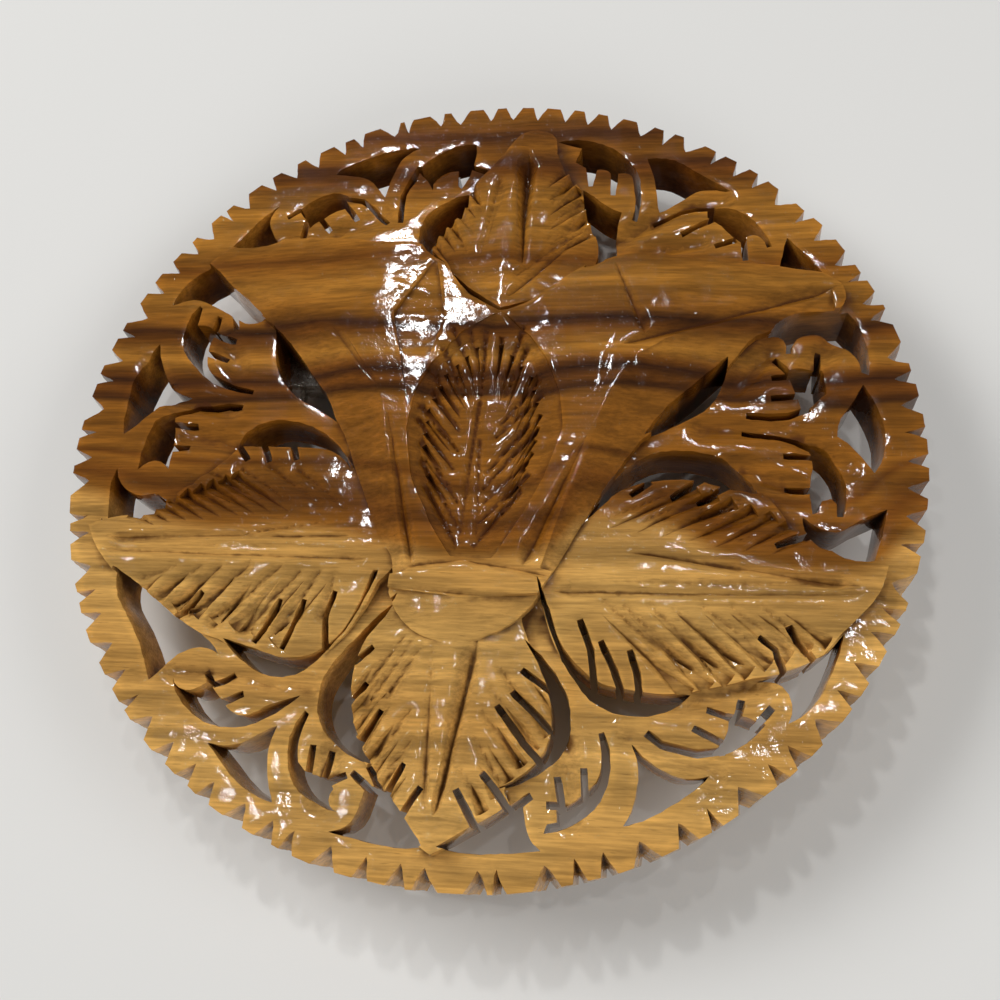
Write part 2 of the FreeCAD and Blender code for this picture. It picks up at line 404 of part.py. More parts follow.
def saw_cut(points):
    """A strip of a saw's width along the points, begun a little inside the opening."""
    path = [sized(point) for point in points]
    half = size("kerf_width") / 2
    path[0] = path[0] + (path[0] - path[1]).normalize() * size("kerf_width")
    left, right = [], []
    for index, point in enumerate(path):
        ahead = path[min(index + 1, len(path) - 1)]
        behind = path[max(index - 1, 0)]
        side = UP.cross((ahead - behind).normalize()) * half
        left.append(point + side)
        right.insert(0, point - side)
    return flat_face(left + right)


def raise_from(face, bottom, top):
    """The upright block over a flat face between two heights."""
    block = face.extrude(UP * (top - bottom))
    block.translate(UP * bottom)
    return block


def raised(stretches, top):
    """A block with the outline's shape, from inside the plate up to the given height."""
    return raise_from(outline(stretches), RIM / 2, top)


def wedge(first, last):
    """The solid between two triangles whose sides are parallel."""
    faces = [Part.Face(Part.makePolygon(corners + corners[:1])) for corners in (first, last)]
    for index in range(3):
        other = (index + 1) % 3
        side = [first[index], first[other], last[other], last[index], first[index]]
        faces.append(Part.Face(Part.makePolygon(side)))
    return Part.Solid(Part.Shell(faces))


def gouge(start, start_z, end, end_z, half_angle):
    """A V-shaped tool mark whose bottom runs from start to end at the two heights."""
    first, last = sized(start), sized(end)
    side = UP.cross((last - first).normalize())
    ends = []
    for point, bottom in ((first, start_z), (last, end_z)):
        reach = (ABOVE - bottom) * math.tan(math.radians(half_angle))
        high = point + UP * ABOVE
        ends.append([point + UP * bottom, high + side * reach, high - side * reach])
    return wedge(*ends)


def slope(start, end, height, fall, width=20, length=16):
    """What lies above a plane that leaves the line start to end at a height and falls away
    to its right by the given share of the distance."""
    width, length = width * PATTERN, length * PATTERN
    first, last = sized(start), sized(end)
    along = (last - first).normalize()
    right = along.cross(UP)
    first = first - along * length
    last = last + along * length
    section = [UP * height, right * width + UP * (height - fall * width),
               right * width + UP * ABOVE, UP * ABOVE]
    points = [first + corner for corner in section]
    face = Part.Face(Part.makePolygon(points + points[:1]))
    return face.extrude(last - first)


def between(first, last, share):
    """The point at a share of the way from the first to the last."""
    return tuple(one + (other - one) * share for one, other in zip(first, last))


def moved(point, step, times):
    """The point after a number of steps."""
    return tuple(one + other * times for one, other in zip(point, step))


def long_cut(top, start, start_depth, end, end_depth):
    """A long V-shaped cut that rises out of the wood at both ends."""
    angle = size("rib_half_angle")
    marks = [gouge(start, top - start_depth, end, top - end_depth, angle)]
    step = tuple((after - before) / math.dist(start, end) for before, after in zip(start, end))
    for point, depth, way in ((start, start_depth, -1), (end, end_depth, 1)):
        out = moved(point, step, way * depth * size("run_out"))
        marks.append(gouge(point, top - depth, out, top, angle))
    return marks


def leaf_side(side, top):
    """The tool marks of one side of a leaf: its slope, and veins that deepen to the edge."""
    start, end, fall, (first, last, first_reach, last_reach, count) = side
    fall = size(fall)
    along = (sized(end) - sized(start)).normalize()

    def surface(point):
        away = (sized(point) - sized(start)).cross(along).Length
        return top - fall * away

    marks = [slope(start, end, top, fall)]
    overrun = size("vein_overrun")
    for index in range(int(count)):
        share = index / (count - 1)
        inner = between(first, last, share)
        outer = moved(inner, between(first_reach, last_reach, share), overrun)
        marks.append(gouge(inner, surface(inner) + 0.02, outer,
                           surface(outer) - size("vein_depth") * overrun,
                           size("vein_half_angle")))
    return marks


def leaf(stretches, sides, ribs):
    """A leaf: two sloped sides with veins, and long cuts beside the midrib."""
    marks = []
    for side in sides:
        marks += leaf_side(side, LEAF_TOP)
    for rib in ribs:
        marks += long_cut(LEAF_TOP, *rib)
    return raised(stretches, LEAF_TOP).cut(marks)


def chip(corners):
    """What lies above a flat facet through three points of the drawing with their depths."""
    low = [sized(corner) + UP * (FLOWER_TOP - corner[2]) for corner in corners]
    return wedge(low, [V(corner.x, corner.y, ABOVE) for corner in low])


def strip(first, last):
    """Facets between two rows of as many points."""
    marks = []
    for index in range(len(first) - 1):
        marks.append(chip([first[index], last[index], last[index + 1]]))
        marks.append(chip([first[index], last[index + 1], first[index + 1]]))
    return marks


def flower():
    """The flower: two swept petals, a sunk throat with a fan of cuts, and a round boss."""
    marks = [slope((-6.5, 18), (-9.5, 4), FLOWER_TOP, size("petal_fall"), 20, 3),
             slope((11, 3), (13, 16), FLOWER_TOP, size("petal_fall"), 20, 3)]
    for inner, outer in PETAL_UNDERSIDES:
        marks += strip(inner, outer)
    ends, peaks = HOLLOW
    marks += [chip(ends + [peak]) for peak in peaks]
    marks += [chip([BOSS_TOP, one, other]) for one, other in zip(BOSS_EDGE, BOSS_EDGE[1:])]
    for line in FLOWER_LINES:
        marks += long_cut(FLOWER_TOP, *line)
    return raised(FLOWER, FLOWER_TOP).cut(marks + throat())


def throat():
    """The sunk throat: a bevelled wall down to its floor, and the cuts that fan out in it."""
    floor = FLOWER_TOP - size("throat_depth")
    arch = [point + (size("throat_step"),) for point in THROAT_ARCH + THROAT_ARCH[:1]]
    edge = [point + (size("throat_depth"),) for point in THROAT_FLOOR + THROAT_FLOOR[:1]]
    marks = strip(arch, edge)
    marks.append(raise_from(flat_face([sized(point) for point in THROAT_FLOOR]), floor, ABOVE))
    between_keys = 3
    for fan in (LEFT_FAN, RIGHT_FAN):
        for (outer, inner), (next_outer, next_inner) in zip(fan, fan[1:]):
            for step in range(between_keys):
                share = step / between_keys
                marks.append(gouge(between(inner, next_inner, share), floor + 0.02,
                                   between(outer, next_outer, share),
                                   floor - size("fan_depth"), size("fan_half_angle")))
    return marks


def notches():
    """The saw-tooth notches round the rim, cut on a slant so they are deep in front."""
    radius = size("plate_diameter") / 2
    count = int(size("tooth_count"))
    tangent = math.tan(math.radians(size("notch_half_angle")))
    out = 1.0
    ends = []
    for height, depth in ((-0.5, size("notch_back")), (RIM + 0.5, size("notch_front"))):
        reach = (depth + out) * tangent
        ends.append([V(radius - depth, 0, height), V(radius + out, reach, height),
                     V(radius + out, -reach, height)])
    notch = wedge(*ends)
    marks = []
    for index in range(count):
        mark = notch.copy()
        mark.rotate(V(), UP, 360.0 * index / count)
        marks.append(mark)
    return marks


def pierced():
    """Every opening and saw cut, as what the saw takes out."""
    faces = [outline(stretches) for stretches in OPENINGS]
    faces += [saw_cut(points) for points in KERFS]
    return [raise_from(face, -0.5, ABOVE + 0.5) for face in faces]


def carved_wood():
    """The whole wooden disc, one piece."""
    disc = Part.makeCylinder(size("plate_diameter") / 2, RIM)
    disc = disc.cut(notches())
    forms = [leaf(TOP_LEAF, TOP_SIDES, TOP_RIBS), leaf(LEFT_LEAF, LEFT_SIDES, LEFT_RIBS),
             leaf(RIGHT_LEAF, RIGHT_SIDES, RIGHT_RIBS),
             leaf(BOTTOM_LEAF, BOTTOM_SIDES, BOTTOM_RIBS), flower()]
    body = disc.multiFuse(forms)
    return body.cut(pierced()).removeSplitter()


def solid(kind, name, place, axis=None, **sizes):
    """A primitive whose sizes and place follow the sheet. Without an axis it stands on Z."""
    item = doc.addObject("Part::" + kind, name)
    if axis:
        item.Placement.Rotation = FreeCAD.Rotation(UP, axis)
    for key, expression in sizes.items():
        item.setExpression(key, expression)
    for letter, expression in zip("xyz", place):
        item.setExpression("Placement.Base." + letter, expression)
    return item


def fused(name, items):
    item = doc.addObject("Part::MultiFuse", name)
    item.Shapes = items
    return item


def cut(name, base, tool):
    item = doc.addObject("Part::Cut", name)
    item.Base = base
    item.Tool = tool
    return item


# Places that several pieces of the pin share
HINGE_X = "(Sizes.bar_length / 2 - Sizes.hinge_inset)"
CATCH_X = "(Sizes.catch_inset - Sizes.bar_length / 2)"
BAR_FACE = "(-Sizes.glue_gap - Sizes.bar_thickness)"
PIN_Y = "Sizes.pin_height"
AXIS_Z = "(%s - Sizes.keeper_bore / 2 - Sizes.collar_rise - Sizes.turn_clearance)" % BAR_FACE
ALONG = V(1, 0, 0)
ACROSS = V(0, 1, 0)


def pin_bar():
    """The stamped bar: a strip with round ends and glue holes, two ears and a keeper."""
    strip = [solid("Box", "strip", ("-Sizes.bar_length / 2 + Sizes.bar_width / 2",
                                    PIN_Y + " - Sizes.bar_width / 2", BAR_FACE),
                   Length="Sizes.bar_length - Sizes.bar_width", Width="Sizes.bar_width",
                   Height="Sizes.bar_thickness")]
    for name, sign in (("left_end", "-"), ("right_end", "")):
        place = "%s(Sizes.bar_length - Sizes.bar_width) / 2" % sign
        strip.append(solid("Cylinder", name, (place, PIN_Y, BAR_FACE),
                           Radius="Sizes.bar_width / 2", Height="Sizes.bar_thickness"))
    for name, side in (("upper", "Sizes.ear_gap / 2"),
                       ("lower", "-Sizes.ear_gap / 2 - Sizes.bar_thickness")):
        side = "%s + %s" % (PIN_Y, side)
        strip.append(solid("Box", name + "_ear", (HINGE_X + " - Sizes.ear_width / 2", side, AXIS_Z),
                           Length="Sizes.ear_width", Width="Sizes.bar_thickness",
                           Height="-%s - Sizes.glue_gap" % AXIS_Z))
        strip.append(solid("Cylinder", name + "_ear_end", (HINGE_X, side, AXIS_Z), ACROSS,
                           Radius="Sizes.ear_width / 2", Height="Sizes.bar_thickness"))
    keeper_place = (CATCH_X + " - Sizes.catch_length / 2", PIN_Y, AXIS_Z)
    strip.append(solid("Cylinder", "keeper", keeper_place, ALONG,
                       Radius="Sizes.keeper_bore / 2 + Sizes.keeper_wall",
                       Height="Sizes.catch_length"))
    away = [solid("Cylinder", "keeper_bore", keeper_place, ALONG,
                  Radius="Sizes.keeper_bore / 2", Height="Sizes.catch_length"),
            solid("Box", "keeper_gap", (keeper_place[0], PIN_Y + " - Sizes.keeper_gap / 2",
                                        AXIS_Z + " - Sizes.keeper_bore"),
                  Length="Sizes.catch_length", Width="Sizes.keeper_gap",
                  Height="Sizes.keeper_bore"),
            solid("Cylinder", "rivet_hole", (HINGE_X, PIN_Y + " - Sizes.bar_width", AXIS_Z), ACROSS,
                  Radius="Sizes.rivet_diameter / 2", Height="2 * Sizes.bar_width")]
    for index, share in enumerate(("-1 / 5", "0", "1 / 5")):
        away.append(solid("Cylinder", "glue_hole_%d" % (index + 1),
                          ("Sizes.bar_length * (%s)" % share, PIN_Y, BAR_FACE),
                          Radius="Sizes.bar_hole / 2", Height="Sizes.bar_thickness"))
    return cut("pin_bar", fused("bar_stock", strip), fused("bar_cuts", away))


def hinge_rivet():
    """The rivet through both ears, with a head on each side."""
    half = "(Sizes.ear_gap / 2 + Sizes.bar_thickness)"
    head = "Sizes.rivet_head"
    shank = solid("Cylinder", "shank", (HINGE_X, "%s - %s" % (PIN_Y, half), AXIS_Z), ACROSS,
                  Radius="Sizes.rivet_diameter / 2", Height="2 * " + half)
    heads = []
    for name, place in (("upper_head", "%s + %s" % (PIN_Y, half)),
                        ("lower_head", "%s - %s - %s" % (PIN_Y, half, head))):
        heads.append(solid("Cylinder", name, (HINGE_X, place, AXIS_Z), ACROSS,
                           Radius="Sizes.rivet_diameter / 2 + " + head, Height=head))
    return fused("hinge_rivet", [shank] + heads)


def pin_stem():
    """The sharp wire: an eye round the rivet, a straight stem and a ground point."""
    width = "(Sizes.ear_gap - 2 * Sizes.turn_clearance)"
    eye_place = (HINGE_X, "%s - %s / 2" % (PIN_Y, width), AXIS_Z)
    inner = "(Sizes.rivet_diameter / 2 + Sizes.turn_clearance)"
    eye = solid("Cylinder", "eye", eye_place, ACROSS,
                Radius=inner + " + Sizes.stem_diameter / 2", Height=width)
    reach = "(Sizes.bar_length - Sizes.hinge_inset - Sizes.catch_inset + Sizes.catch_length / 2)"
    straight = "(%s + Sizes.point_overhang - Sizes.point_length)" % reach
    wire = solid("Cylinder", "wire", (HINGE_X, PIN_Y, AXIS_Z), V(-1, 0, 0),
                 Radius="Sizes.stem_diameter / 2", Height=straight)
    point = solid("Cone", "point", ("%s - %s" % (HINGE_X, straight), PIN_Y, AXIS_Z), V(-1, 0, 0),
                  Radius1="Sizes.stem_diameter / 2", Radius2="Sizes.stem_diameter / 20",
                  Height="Sizes.point_length")
    hole = solid("Cylinder", "eye_hole", eye_place, ACROSS, Radius=inner, Height=width)
    return cut("pin_stem", fused("stem_stock", [eye, wire, point]), hole)


def catch_lock():
    """The lock that turns in the keeper: a slotted sleeve, two collars and a lever."""
    radius = "(Sizes.keeper_bore / 2 - Sizes.turn_clearance)"
    collar = "(Sizes.keeper_bore / 2 + Sizes.collar_rise)"
    half = "(Sizes.catch_length / 2 + Sizes.turn_clearance)"
    total = "(2 * (%s + Sizes.collar_width))" % half
    start = "%s - %s / 2" % (CATCH_X, total)
    stock = [solid("Cylinder", "sleeve", (start, PIN_Y, AXIS_Z), ALONG, Radius=radius,
                   Height=total)]
    for name, place in (("left_collar", start), ("right_collar", "%s + %s" % (CATCH_X, half))):
        stock.append(solid("Cylinder", name, (place, PIN_Y, AXIS_Z), ALONG, Radius=collar,
                           Height="Sizes.collar_width"))
    stock.append(solid("Box", "lever", (start, "%s - %s - Sizes.lever_length" % (PIN_Y, collar),
                                        AXIS_Z + " - Sizes.collar_width"),
                       Length="Sizes.collar_width", Height="2 * Sizes.collar_width",
                       Width="Sizes.lever_length + " + collar))
    away = [solid("Cylinder", "lock_bore", (start, PIN_Y, AXIS_Z), ALONG,
                  Radius="Sizes.stem_slot / 2", Height=total),
            solid("Box", "lock_slot", (start, PIN_Y + " - Sizes.stem_slot / 2",
                                       AXIS_Z + " - 2 * Sizes.keeper_bore"),
                  Length=total, Width="Sizes.stem_slot", Height="2 * Sizes.keeper_bore")]
    return cut("catch_lock", fused("lock_stock", stock), fused("lock_cuts", away))


wood = doc.addObject("Part::Feature", "carved_disc")
wood.Shape = carved_wood()
pieces = [wood, pin_bar(), hinge_rivet(), pin_stem(), catch_lock()]
for piece in pieces:
    piece.Label = piece.Name

doc.recompute()
for item in doc.Objects:
    if "Invalid" in item.State or "Error" in item.State:
        raise RuntimeError("%s failed" % item.Label)
for piece in pieces:
    if piece.Shape.isNull() or not piece.Shape.isValid():
        raise RuntimeError("%s has no valid shape" % piece.Label)

os.makedirs("parts", exist_ok=True)
for piece in pieces:
    piece.Shape.exportStep(os.path.join("parts", piece.Label + ".step"))
    print(piece.Label, len(piece.Shape.Solids), "solids", len(piece.Shape.Faces), "faces",
          round(piece.Shape.Volume, 1), "mm3")
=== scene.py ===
import math

import bmesh
import bpy
import numpy as np
from mathutils import Matrix, Vector, geometry, noise


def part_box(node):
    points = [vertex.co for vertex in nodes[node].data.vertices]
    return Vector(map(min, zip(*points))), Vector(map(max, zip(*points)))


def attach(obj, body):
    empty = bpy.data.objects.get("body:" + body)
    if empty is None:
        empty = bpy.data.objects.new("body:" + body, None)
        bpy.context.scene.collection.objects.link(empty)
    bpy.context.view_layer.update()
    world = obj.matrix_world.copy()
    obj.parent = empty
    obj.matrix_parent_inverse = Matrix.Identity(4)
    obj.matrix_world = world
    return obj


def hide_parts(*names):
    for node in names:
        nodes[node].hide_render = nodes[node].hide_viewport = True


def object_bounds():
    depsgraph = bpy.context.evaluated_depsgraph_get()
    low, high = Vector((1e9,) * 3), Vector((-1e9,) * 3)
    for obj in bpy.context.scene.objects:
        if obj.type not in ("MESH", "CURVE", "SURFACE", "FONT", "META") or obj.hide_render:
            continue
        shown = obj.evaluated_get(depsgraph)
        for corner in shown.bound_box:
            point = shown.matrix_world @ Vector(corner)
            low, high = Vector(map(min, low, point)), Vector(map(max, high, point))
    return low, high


MM = 0.001

# The carved wood, in millimetres and radians
SAME_FLAT = 0.99998  # cosine of the angle under which two triangles lie in one flat
BORDER_STEP = 0.45  # points along the edges of the carving
FRONT_STEP = 0.42  # points on the level face of the rim and the scrollwork
LEAF_STEP = 0.23  # points on the leaves and the flower
SIDE_STEP = 0.9  # points on the walls and the back
SAME_POINT = 0.002  # points nearer than this are one
SLIVER = 0.004  # triangles thinner than this are dropped
FACES_FRONT = 0.2  # upward share of the direction of a flat that looks to the front
POINT_FRONT = 0.3  # the same for a point
LEVEL_SLACK = 0.01  # how far from the rim's face a level point may be
SMALLEST_GRID = 2.2  # grid steps across the smallest flat that gets points inside
ROW_SHARE = 0.87  # distance of the grid's rows in steps
GRID_STRAY = 0.18  # how far a grid point strays, in steps
BORDER_GAP = 0.42  # room left along a flat's border, in steps
BLOCK = 400  # grid points tried at a time
HAND_WAVE = 0.09  # slow unevenness of a hand-cut face
HAND_RIPPLE = 0.03  # quick unevenness
WAVE_LENGTH = 3.1
RIPPLES = 1.3  # quick ones in a millimetre
HAND_HEIGHT = 1.5  # height over the flat back at which the unevenness is full
TOOTH_ROOT = 27.4  # radius inside the notches
TOOTH_WANDER = 1.0  # how far a notch strays from even spacing
TOOTH_BLEND = 1.5  # width over which the straying sets in
TOOTH_CHANGES = 12.0  # how often it changes round the rim
EDGE_WEAR = 0.05  # how far a sharp edge is drawn in
WORN_FROM = 0.6  # height from which edges are worn
SHARP = math.radians(28)
CHANCE = np.random.default_rng(7)
noise.seed_set(7)  # without a seed the clock picks the unevenness
RIM_FACE = 3.6  # height of the rim and the scrollwork
FLAT_TURN = 0.1  # an edge that turns less than this lies in a flat
FOLD_GAIN = 0.6  # how strongly a fold of the wood shows in its colour: painted shade in a hollow, wear and a painted highlight on an edge
FOLD_PASSES = 2  # times that each point takes half its value from its neighbours
# Gouge cuts that widen from start to end: start, end, reach to each side and depth
LEAF_CUTS = [
    # left leaf
    ((-20.1, -10.6), (-22.3, -11.4), 0.5, 0.4), ((-18.2, -10.5), (-21.3, -12.5), 0.55, 0.5),
    ((-16.8, -10.4), (-20.0, -13.3), 0.6, 0.55), ((-14.8, -10.4), (-18.9, -13.6), 0.6, 0.6),
    ((-12.7, -10.4), (-17.0, -14.3), 0.6, 0.6), ((-11.4, -10.8), (-14.9, -14.6), 0.7, 0.65),
    ((-10.0, -10.8), (-12.5, -14.6), 0.6, 0.6), ((-8.9, -10.9), (-9.6, -13.6), 0.5, 0.5),
    ((-9.0, -9.4), (-24.4, -8.8), 0.7, 0.35), ((-8.8, -7.1), (-15.4, -8.1), 0.35, 0.35),
    ((-8.6, -6.4), (-12.6, -3.2), 0.4, 0.35), ((-10.6, -5.9), (-14.8, -2.9), 0.4, 0.4),
    ((-12.8, -5.7), (-17.0, -3.0), 0.4, 0.4), ((-15.0, -5.6), (-19.0, -3.4), 0.4, 0.4),
    ((-17.2, -5.7), (-20.6, -4.1), 0.35, 0.35),
    # right leaf
    ((8.8, -12.5), (12.2, -15.2), 0.5, 0.5), ((10.1, -12.7), (14.0, -16.4), 0.55, 0.55),
    ((11.7, -12.6), (15.5, -16.2), 0.55, 0.55), ((13.2, -12.8), (17.0, -16.0), 0.55, 0.55),
    ((15.0, -12.6), (19.1, -15.8), 0.6, 0.55), ((16.6, -12.5), (19.9, -15.0), 0.5, 0.5),
    ((18.4, -12.4), (21.3, -14.8), 0.5, 0.5), ((6.8, -11.3), (23.0, -11.0), 0.75, 0.4),
    ((10.7, -9.1), (17.0, -10.0), 0.6, 0.35), ((9.0, -6.6), (12.8, -4.9), 0.4, 0.35),
    ((11.0, -7.0), (15.4, -5.0), 0.45, 0.4), ((13.2, -7.4), (17.4, -5.4), 0.45, 0.4),
    ((15.2, -7.8), (19.2, -6.2), 0.4, 0.4), ((17.2, -8.2), (20.2, -7.0), 0.4, 0.35),
    # bottom leaf
    ((-3.9, -14.9), (-6.3, -18.3), 0.5, 0.5), ((-3.3, -15.2), (-6.0, -19.4), 0.5, 0.5),
    ((-2.7, -15.6), (-4.7, -18.7), 0.5, 0.5), ((-3.0, -19.6), (-5.0, -22.3), 0.5, 0.5),
    ((-2.7, -21.2), (-4.3, -23.5), 0.45, 0.45), ((-2.0, -15.8), (-1.8, -24.7), 0.3, 0.4),
    ((-0.9, -25.4), (0.5, -16.2), 0.75, 0.6), ((2.2, -16.6), (4.3, -19.2), 0.45, 0.5),
    ((1.9, -18.0), (4.0, -20.9), 0.45, 0.5), ((1.5, -19.6), (3.9, -22.6), 0.45, 0.5),
    ((1.1, -21.1), (2.6, -23.6), 0.45, 0.45), ((0.3, -22.9), (1.5, -24.9), 0.4, 0.4),
    # top leaf
    ((2.4, 13.9), (2.3, 22.8), 0.85, 0.7), ((-0.8, 14.6), (0.3, 21.4), 0.35, 0.35),
    ((-1.7, 14.6), (-3.6, 18.2), 0.4, 0.4), ((-1.5, 16.6), (-3.1, 19.9), 0.4, 0.4),
    ((-0.9, 18.4), (-2.0, 21.4), 0.4, 0.4), ((4.4, 17.2), (6.6, 19.6), 0.4, 0.4),
    ((4.3, 15.8), (7.2, 18.2), 0.4, 0.4), ((4.5, 19.2), (6.0, 21.4), 0.4, 0.4),
    ((2.0, 12.4), (6.8, 17.0), 0.45, 0.45),
]
THROAT_CUTS = [
    ((-1.0, 4.6), (-2.1, 7.3), 0.3, 0.4), ((-0.5, 5.2), (-1.0, 7.4), 0.25, 0.3),
    ((-1.2, 2.3), (-2.8, 5.7), 0.3, 0.45), ((-1.4, 0.9), (-3.5, 3.9), 0.3, 0.45),
    ((0.05, 2.3), (0.1, 7.3), 0.3, 0.45), ((1.1, 4.1), (1.3, 7.0), 0.28, 0.4),
    ((1.6, 3.5), (2.8, 7.4), 0.3, 0.45), ((1.8, 2.2), (3.1, 5.9), 0.3, 0.45),
    ((1.6, -0.1), (4.1, 3.4), 0.32, 0.45), ((1.3, -1.1), (4.3, 2.2), 0.32, 0.45),
    ((-1.2, -0.6), (-3.4, 2.6), 0.32, 0.45), ((-1.3, -2.0), (-4.1, 1.4), 0.32, 0.45),
    ((-1.4, -3.5), (-4.2, 0.3), 0.32, 0.45), ((-1.05, -5.9), (-3.9, -1.3), 0.32, 0.45),
    ((-0.95, -7.6), (-3.7, -2.9), 0.32, 0.45), ((-0.9, -9.0), (-3.3, -4.7), 0.32, 0.45),
    ((0.85, -3.7), (3.5, -0.1), 0.32, 0.45), ((0.7, -4.8), (4.0, -0.6), 0.32, 0.45),
    ((0.7, -5.9), (3.5, -3.0), 0.3, 0.4), ((0.5, -7.3), (3.6, -3.9), 0.32, 0.45),
    ((0.3, -9.0), (3.1, -5.1), 0.32, 0.45), ((-0.8, -9.1), (0.0, 1.7), 0.3, 0.3),
    ((0.4, -8.8), (0.2, -1.2), 0.25, 0.25),
]
# Long shallow cuts beside the throat whose flanks catch the light
FLANK_CUTS = [
    ((4.95, -0.9), (2.2, -9.7), 0.5, 0.07), ((7.9, -0.9), (2.9, -11.2), 0.32, 0.05),
    ((7.0, -1.2), (4.4, -6.4), 0.3, 0.05), ((-5.7, -2.9), (-3.8, -9.8), 0.35, 0.06),
    ((9.6, 7.2), (8.2, 2.2), 0.35, 0.07), ((2.2, 7.6), (1.8, 6.3), 0.3, 0.08),
]
# Shallow cuts that round the scrolls off: start, end, reach to each side and depth
SCROLL_CUTS = [
    ((9.6, 16.2), (13.2, 18.9), 1.3, 0.7), ((13.2, 18.9), (17.4, 19.9), 1.2, 0.6),
    ((11.5, 15.3), (15.5, 15.9), 1.0, 0.6), ((-9.2, 19.3), (-12.6, 17.6), 1.2, 0.5),
    ((-12.6, 17.6), (-17.6, 17.4), 1.1, 0.6), ((17.8, 3.6), (20.5, 6.4), 1.3, 0.6),
    ((15.6, 0.4), (20.8, 0.2), 1.1, 0.6), ((20.8, 0.2), (24.6, -2.6), 1.0, 0.5),
    ((17.5, -2.6), (21.4, -4.2), 1.1, 0.6), ((-18.8, 1.8), (-23.2, 2.6), 1.1, 0.6),
    ((-23.2, 2.6), (-25.8, 6.0), 1.0, 0.5), ((-17.0, -1.4), (-21.4, -0.2), 1.1, 0.6),
    ((-21.0, 9.0), (-18.6, 5.4), 1.1, 0.5), ((9.8, -18.4), (13.4, -18.6), 1.0, 0.6),
    ((13.4, -18.6), (18.4, -17.2), 1.1, 0.6), ((10.4, -20.6), (15.4, -22.6), 1.0, 0.5),
    ((-9.8, -18.6), (-15.2, -17.8), 1.1, 0.6), ((-15.2, -17.8), (-19.2, -17.4), 1.0, 0.6),
    ((-7.6, -20.6), (-8.6, -25.2), 1.0, 0.6), ((6.6, -21.0), (6.9, -25.6), 1.0, 0.6),
    ((24.9, 7.6), (22.6, 4.2), 1.0, 0.5), ((-3.5, 24.2), (-6.4, 22.6), 0.9, 0.4),
]

# Cuts, whether they lie in the level face, how much narrower they start, and how much painted
# shade, with gathered lacquer, a millimetre's depth of them adds
CUTS = [
    (SCROLL_CUTS, True, 0.0, 0.1), (FLANK_CUTS, False, 0.1, 0.0), (LEAF_CUTS, False, 0.6, 0.3),
    (THROAT_CUTS, False, 0.4, 1.3),
]

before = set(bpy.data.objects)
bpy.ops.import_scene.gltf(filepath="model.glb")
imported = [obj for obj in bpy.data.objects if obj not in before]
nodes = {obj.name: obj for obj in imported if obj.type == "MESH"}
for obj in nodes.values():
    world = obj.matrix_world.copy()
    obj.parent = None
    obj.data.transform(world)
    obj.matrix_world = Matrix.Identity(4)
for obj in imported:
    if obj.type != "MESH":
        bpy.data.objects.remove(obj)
cad_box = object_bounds()


# ---------------------------------------------------------------- helpers for node trees


class Tree:
    """Adds nodes to a node tree in a few words."""

    def __init__(self, tree):
        self.tree = tree

    def add(self, kind, inputs=None, **settings):
        node = self.tree.nodes.new(kind)
        for key, value in settings.items():
            setattr(node, key, value)
        for key, value in (inputs or {}).items():
            self.put(value, node.inputs[key])
        return node

    def put(self, value, socket):
        if isinstance(value, bpy.types.NodeSocket):
            self.tree.links.new(value, socket)
        else:
            socket.default_value = value

    def math(self, operation, first, second=0.0, third=0.0, clamp=False):
        node = self.add("ShaderNodeMath", operation=operation, use_clamp=clamp)
        for index, value in enumerate((first, second, third)):
            self.put(value, node.inputs[index])
        return node.outputs[0]

    def spread(self, value, low, high, out_low=0.0, out_high=1.0):
        node = self.add("ShaderNodeMapRange", interpolation_type="SMOOTHSTEP")
        for key, each in (("Value", value), ("From Min", low), ("From Max", high),
                          ("To Min", out_low), ("To Max", out_high)):
            self.put(each, node.inputs[key])
        return node.outputs["Result"]

    def stretched(self, point, factors):
        node = self.add("ShaderNodeVectorMath", operation="MULTIPLY")
        self.put(point, node.inputs[0])
        node.inputs[1].default_value = factors
        return node.outputs[0]

    def noise(self, point, scale, detail=2.0, roughness=0.5, lacunarity=2.0):
        node = self.add("ShaderNodeTexNoise", {"Vector": point, "Scale": scale, "Detail": detail,
                                               "Roughness": roughness,
                                               "Lacunarity": lacunarity})
        return node.outputs["Fac"]

    def mix(self, share, first, second, blend="MIX"):
        node = self.add("ShaderNodeMix", data_type="RGBA", blend_type=blend)
        for key, value in ((0, share), (6, first), (7, second)):
            self.put(value, node.inputs[key])
        return node.outputs[2]

    def curve(self, value, points):
        """A smooth curve through points whose places and heights run from 0 to 1."""
        node = self.add("ShaderNodeFloatCurve", {"Value": value})
        line = node.mapping.curves[0]
        line.points[0].location = points[0]
        line.points[1].location = points[-1]
        for x, y in points[1:-1]:
            line.points.new(x, y)
        node.mapping.update()
        return node.outputs["Value"]

    def ramp(self, share, stops, interpolation="LINEAR"):
        node = self.add("ShaderNodeValToRGB")
        self.put(share, node.inputs["Fac"])
        band = node.color_ramp
        band.interpolation = interpolation
        while len(band.elements) < len(stops):
            band.elements.new(1.0)
        for element, (place, colour) in zip(band.elements, stops):
            element.position = place
            element.color = (*colour, 1.0)
        return node.outputs["Color"]


def group(name, inputs, outputs):
    """An empty node group with named float or vector inputs and named outputs."""
    made = bpy.data.node_groups.new(name, "ShaderNodeTree")
    kinds = {"f": "NodeSocketFloat", "v": "NodeSocketVector", "c": "NodeSocketColor"}
    for title, kind, value in inputs:
        socket = made.interface.new_socket(title, in_out="INPUT", socket_type=kinds[kind])
        if value is not None:
            socket.default_value = value
    for title, kind in outputs:
        made.interface.new_socket(title, in_out="OUTPUT", socket_type=kinds[kind])
    tree = Tree(made)
    return tree, tree.add("NodeGroupInput").outputs, tree.add("NodeGroupOutput").inputs


# ---------------------------------------------------------------- shared effects


